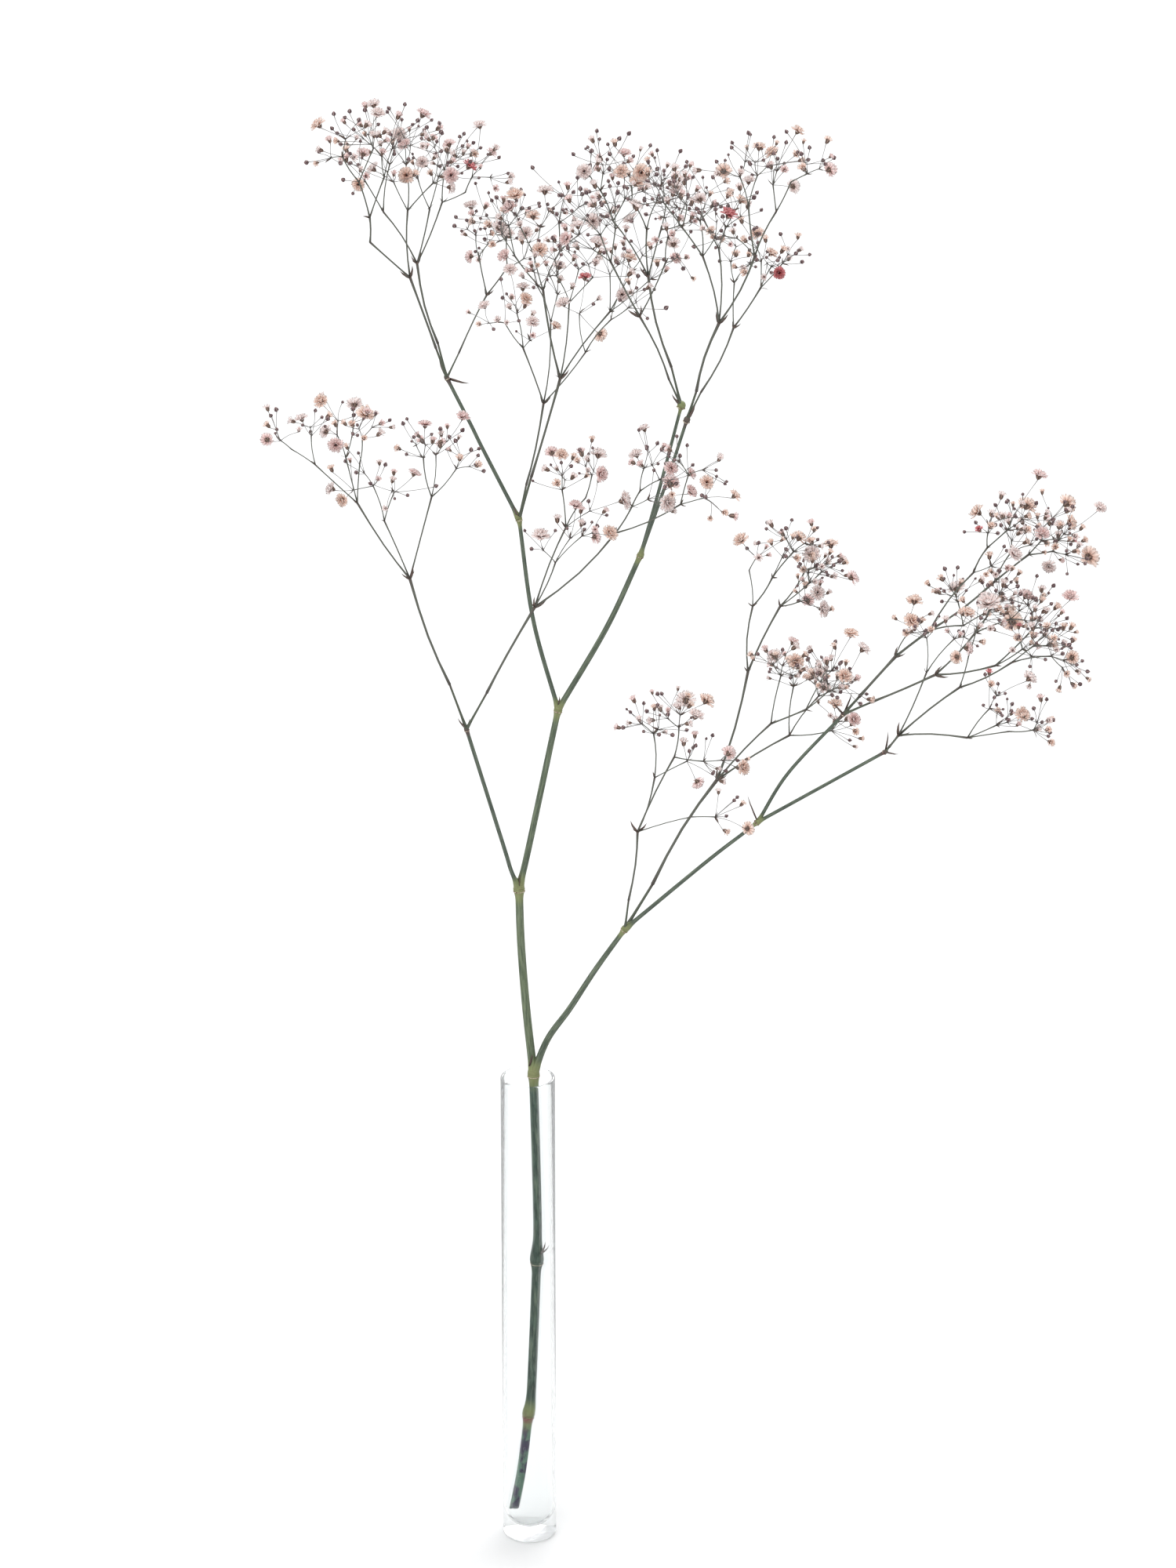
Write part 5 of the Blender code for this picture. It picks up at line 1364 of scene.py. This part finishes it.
def cell_place(paint):
    """Where a point is across and along its cell, from 0 to 1, the cell's column, and its UV place."""
    where = paint.node("UVMap", {"uv_map": "OFBake"}, {})
    across, along, _ = paint.split(where)
    across = across * CELLS
    return across % 1.0, along * CELLS % 1.0, across // 1.0, where


for tone, (deep, middle, tip) in PETAL_COLOURS.items():
    petal = Paint(f"{tone} petals", roughness=0.75, Specular_IOR_Level=0.3)
    _, along, tier, where = cell_place(petal)
    veins = petal.noise(where, scale=60, detail=2.0, stretch=(8, 1, 1))
    petal.colour(
        deep,
        (along.between(0.1, 0.65), middle),
        (along.between(0.6, 1.0), tip),
        (tier * 0.1, deep),
        (veins.between(0.5, 0.75) * 0.35, deep),
    )
    petal.blend_shaders(PETAL_GLOW, petal.body, petal.node("BsdfTranslucent", {}, {"Color": middle}))
    for model in open_heads[tone] + half_heads[tone]:
        model.data.materials.append(petal.material)

for name, models, nerve, flank, edge, tip in HUSKS:
    husk = Paint(name, roughness=0.7)
    across, along, _, where = cell_place(husk)
    from_nerve = abs((across * SEPALS) % 1.0 - 0.5) * 2
    grain = husk.noise(where, scale=140, detail=2.0)
    husk.colour(
        nerve,
        (from_nerve.between(0.1, 0.55), flank),
        (from_nerve.between(0.72, 0.98) * along.between(0.15, 0.5), edge),
        (along.between(0.7, 1.0), tip),
        (grain.between(0.45, 0.75) * 0.3, nerve),
    )
    husk.bump(grain, distance=0.1 * MM)
    for model in models:
        model.data.materials.append(husk.material)


# Sprays. A spray's twigs thin out by the number of blooms that each carries, down to hair-thin pedicels. Its
# petals are dry and papery, its calyxes and buds brown, and every fork keeps a pair of small dark bracts.
PEDICEL_GREY = (0.135, 0.12, 0.12)
THICK_TWIG_GREEN = (0.055, 0.07, 0.048)
TWIG_PURPLE = (0.05, 0.026, 0.03)
TWIG_STRAW = (0.17, 0.17, 0.12)
PEDICEL_RADIUS_SEEN = 0.125 * MM
TWIG_THICKENING = 0.32
TWIG_POINTS = 5
TWIG_ROUNDNESS = 1
STALK_ROUNDNESS = 2
TWIG_BOW = 0.045
FORK_SWELLING = 1.35
FEW_BLOOMS = 5
# A stalk's shape: how far along it, how many of its own radii thick, and at most how many of its joint's
STALK_SHAPE = [(0, 1.9, 0.7), (0.12, 1.5, 0.6), (0.3, 1.15, 1), (0.6, 1, 1), (1, 1, 1)]
SMALL_BRACT = (1.1 * MM, 1.8 * MM)
FORK_BRACT = (2.0 * MM, 3.0 * MM)
BRACT_SPREAD = (0.4, 0.9)
BRACT_SPIN = math.radians(50)
# The crescent pair of bracts at a spray's first fork, and the cup that they stand in
FIRST_FORK_BRACT = (4.6 * MM, 6.6 * MM)
FIRST_FORK_SPREAD = (0.7, 1.0)
FIRST_FORK_CUP = 1.9 * MM
BRACT_DEPTH = FIRST_FORK_CUP * 0.2
CUP_DEPTH = FIRST_FORK_CUP * 0.35
HEAD_SPREAD = 1.19
BUD_SPREAD = 1.14
RIGHT_SIDE = 905
TOP_SIDE = 330
# How often each tone is drawn: on the right, at the top, and elsewhere
TONE_SHARES = {"right": (16, 8, 26, 1), "top": (26, 22, 10, 0), "rest": (24, 20, 14, 0)}
# Flowers that stand out in the picture by their own tone
SPECIAL_TONES = {
    (519, 224): "peach", (598, 213): "rose", (612, 161): "pale",
    (746, 355): "rose", (929, 275): "rose", (993, 348): "rose",
}
# The bracts in the axils of the thick stem: where each starts and ends, pixel and depth, and its half width
AXIL_BRACTS = [
    ((662, 1130, 3.2), (661, 1116, 4.0), 0.55),
    ((675, 1360, 1.8), (683, 1343, 2.4), 0.8),
    ((690, 1601, 1.5), (699, 1588, 0.5), 0.8),
    ((691, 1600, 2.5), (703, 1592, 1.5), 0.6),
    ((712, 899, 9.6), (716, 890, 9.0), 0.6),
]


def count_blooms(twig):
    """Writes on each twig how many blooms it carries."""
    twig.beyond = 1 if twig.bloom else sum(count_blooms(kid) for kid in twig.kids)
    return twig.beyond


def seen_radius(twig):
    """A twig's real radius, by how many blooms it carries."""
    return PEDICEL_RADIUS_SEEN * twig.beyond**TWIG_THICKENING


def bowed(start, end, draw):
    """Points on a slightly bowed line from start to end."""
    bow = random_direction(UP, math.pi, draw) * (end - start).length * TWIG_BOW
    shares = [i / (TWIG_POINTS - 1) for i in range(TWIG_POINTS)]
    return [start.lerp(end, share) + bow * math.sin(math.pi * share) for share in shares]


def draw_twigs(start, twig, rods, blooms, bracts, draw):
    """Adds a rod for this twig and all beyond it, and lists their blooms and bracts. The rods are parted in
    three levels: pedicels, thin twigs and thick ones."""
    radius = seen_radius(twig)
    level = 0 if twig.bloom else 1 if twig.beyond < FEW_BLOOMS else 2
    ends = radius * FORK_SWELLING
    add_rod(rods[level], bowed(start, twig.end, draw), [ends, *[radius] * (TWIG_POINTS - 2), ends])
    if twig.bloom:
        blooms.append((twig.end, twig.bloom))
        return
    axis = (twig.end - start).normalized()
    if len(twig.kids) > 1:
        side = axis.orthogonal()
        side.rotate(Quaternion(axis, draw.uniform(0, math.tau)))
        sizes = FORK_BRACT if level == 2 else SMALL_BRACT
        for way in (side, -side):
            reach = (axis * BRACT_RISE + way * draw.uniform(*BRACT_SPREAD)) * draw.uniform(*sizes)
            bracts.append((twig.end, reach))
    for kid in twig.kids:
        draw_twigs(twig.end, kid, rods, blooms, bracts, draw)


def standing(foot, axis, spin, size):
    """The place of a model that stands at the foot along the axis."""
    return Matrix.Translation(foot) @ turned_to(axis) @ Matrix.Rotation(spin, 4, "Z") @ Matrix.Scale(size, 4)


def facing(foot, reach, axis):
    """The place of a bract that shows half its face to the front and hooks over towards the axis."""
    along = reach.normalized()
    across = along.cross(VIEW_FORWARD).normalized()
    turn = Matrix((across, along.cross(across), along)).transposed().to_4x4()
    spin = math.copysign(BRACT_SPIN, across.dot(axis))
    return Matrix.Translation(foot) @ turn @ Matrix.Rotation(spin, 4, "Z")


def tone_of(bloom, draw):
    """The tone of a bloom's petals, by where it is seen."""
    if bloom.pixel in SPECIAL_TONES:
        return SPECIAL_TONES[bloom.pixel]
    seen = bloom.middle - VIEW_POINT
    u = PICTURE_SIZE[0] / 2 + seen.dot(VIEW_RIGHT) / seen.dot(VIEW_FORWARD) * FOCAL_PIXELS
    v = PICTURE_SIZE[1] / 2 - seen.dot(VIEW_UP) / seen.dot(VIEW_FORWARD) * FOCAL_PIXELS
    side = "right" if u > RIGHT_SIDE else "top" if v < TOP_SIDE else "rest"
    return draw.choices(TONES, TONE_SHARES[side])[0]


def rods_in_cells(name, rods, first_cell):
    """The rods of each level made one mesh, each level in a UV cell of its own."""
    made = []
    for level, curve in enumerate(rods):
        if not curve.data.splines:
            bpy.data.objects.remove(curve)
            continue
        mesh = as_mesh(curve)
        in_cell(mesh, first_cell + level, 0)
        made.append(mesh)
    piece = join(name, made)
    piece.data.materials.append(twig_paint.material)
    return piece


twig_paint = Paint("dry twig", roughness=0.7)
across, _, level, where = cell_place(twig_paint)
grain = twig_paint.noise(where, scale=90, stretch=(1, 12, 1))
twig_paint.colour(
    PEDICEL_GREY,
    (level * 0.34, THICK_TWIG_GREEN),
    (abs(across - 0.5).between(0.36, 0.5) * 0.7, TWIG_PURPLE),
    (grain.between(0.4, 0.7) * 0.45, TWIG_STRAW),
)

touch = random.Random(SEED + 3)
stalks = new_rods("spray stalks", STALK_ROUNDNESS)
for name, spray in sprays.items():
    joint, shape = SPRAYS[name]
    start = joint_place(joint)
    end = start.lerp(shape["end"], STALK_SHARE)
    count_blooms(spray)
    radius = seen_radius(spray)
    path = [start.lerp(end, share) for share, _, _ in STALK_SHAPE]
    add_rod(stalks, path, [min(radius * own, swelling(joint) * most) for _, own, most in STALK_SHAPE])
    rods = [new_rods(f"{name} rods {level}", TWIG_ROUNDNESS) for level in range(3)]
    blooms = []
    bracts = []
    draw_twigs(end, spray, rods, blooms, bracts, touch)
    petal_copies = []
    brown_copies = []
    for foot, bloom in blooms:
        place = standing(foot, bloom.axis, touch.uniform(0, math.tau), bloom.radius)
        if bloom.kind == "bud":
            brown_copies.append(copy_of(bud, place @ Matrix.Scale(BUD_SPREAD, 4)))
            continue
        tone = tone_of(bloom, touch)
        heads = open_heads if bloom.kind == "open" else half_heads
        petal_copies.append(copy_of(touch.choice(heads[tone]), place @ Matrix.Scale(HEAD_SPREAD, 4)))
        brown_copies.append(copy_of(calyx if bloom.kind == "open" else half_calyx, place))
    for foot, reach in bracts:
        place = standing(foot, reach.normalized(), touch.uniform(0, math.tau), reach.length)
        brown_copies.append(copy_of(bract, place))
    axis = (spray.end - end).normalized()
    side = axis.cross(VIEW_FORWARD).normalized()
    for way in (side, -side):
        place = facing(spray.end - axis * BRACT_DEPTH, axis + way * more.uniform(*FIRST_FORK_SPREAD), axis)
        brown_copies.append(copy_of(bract, place @ Matrix.Scale(more.uniform(*FIRST_FORK_BRACT), 4)))
    brown_copies.append(copy_of(calyx, standing(spray.end - axis * CUP_DEPTH, axis, 0, FIRST_FORK_CUP)))
    pieces = [rods_in_cells(f"{name}_twigs", rods, 0), join(f"{name}_calyxes", brown_copies)]
    if petal_copies:
        pieces.append(join(f"{name}_petals", petal_copies))
    for piece in pieces:
        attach(piece, "root")
        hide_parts(name)

lines = [(joint_place(joint), spot(*tip), width) for joint, tip, width in BRACTS]
lines += [(spot(*start), spot(*tip), width) for start, tip, width in AXIL_BRACTS]
main_bracts = []
for start, tip, width in lines:
    wide = width * MM / BRACT_ROWS[1][1]
    size = Matrix.Diagonal((wide, wide, (tip - start).length, 1))
    main_bracts.append(copy_of(bract, facing(start, tip - start, UP) @ size))
for piece in (rods_in_cells("spray_stalks", [stalks], 3), join("stem_bracts", main_bracts)):
    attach(piece, "root")
    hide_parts("main_stem")

heads = [head for tone in TONES for head in open_heads[tone] + half_heads[tone]]
for model in [bract, calyx, half_calyx, bud, *petals, *heads]:
    bpy.data.objects.remove(model)
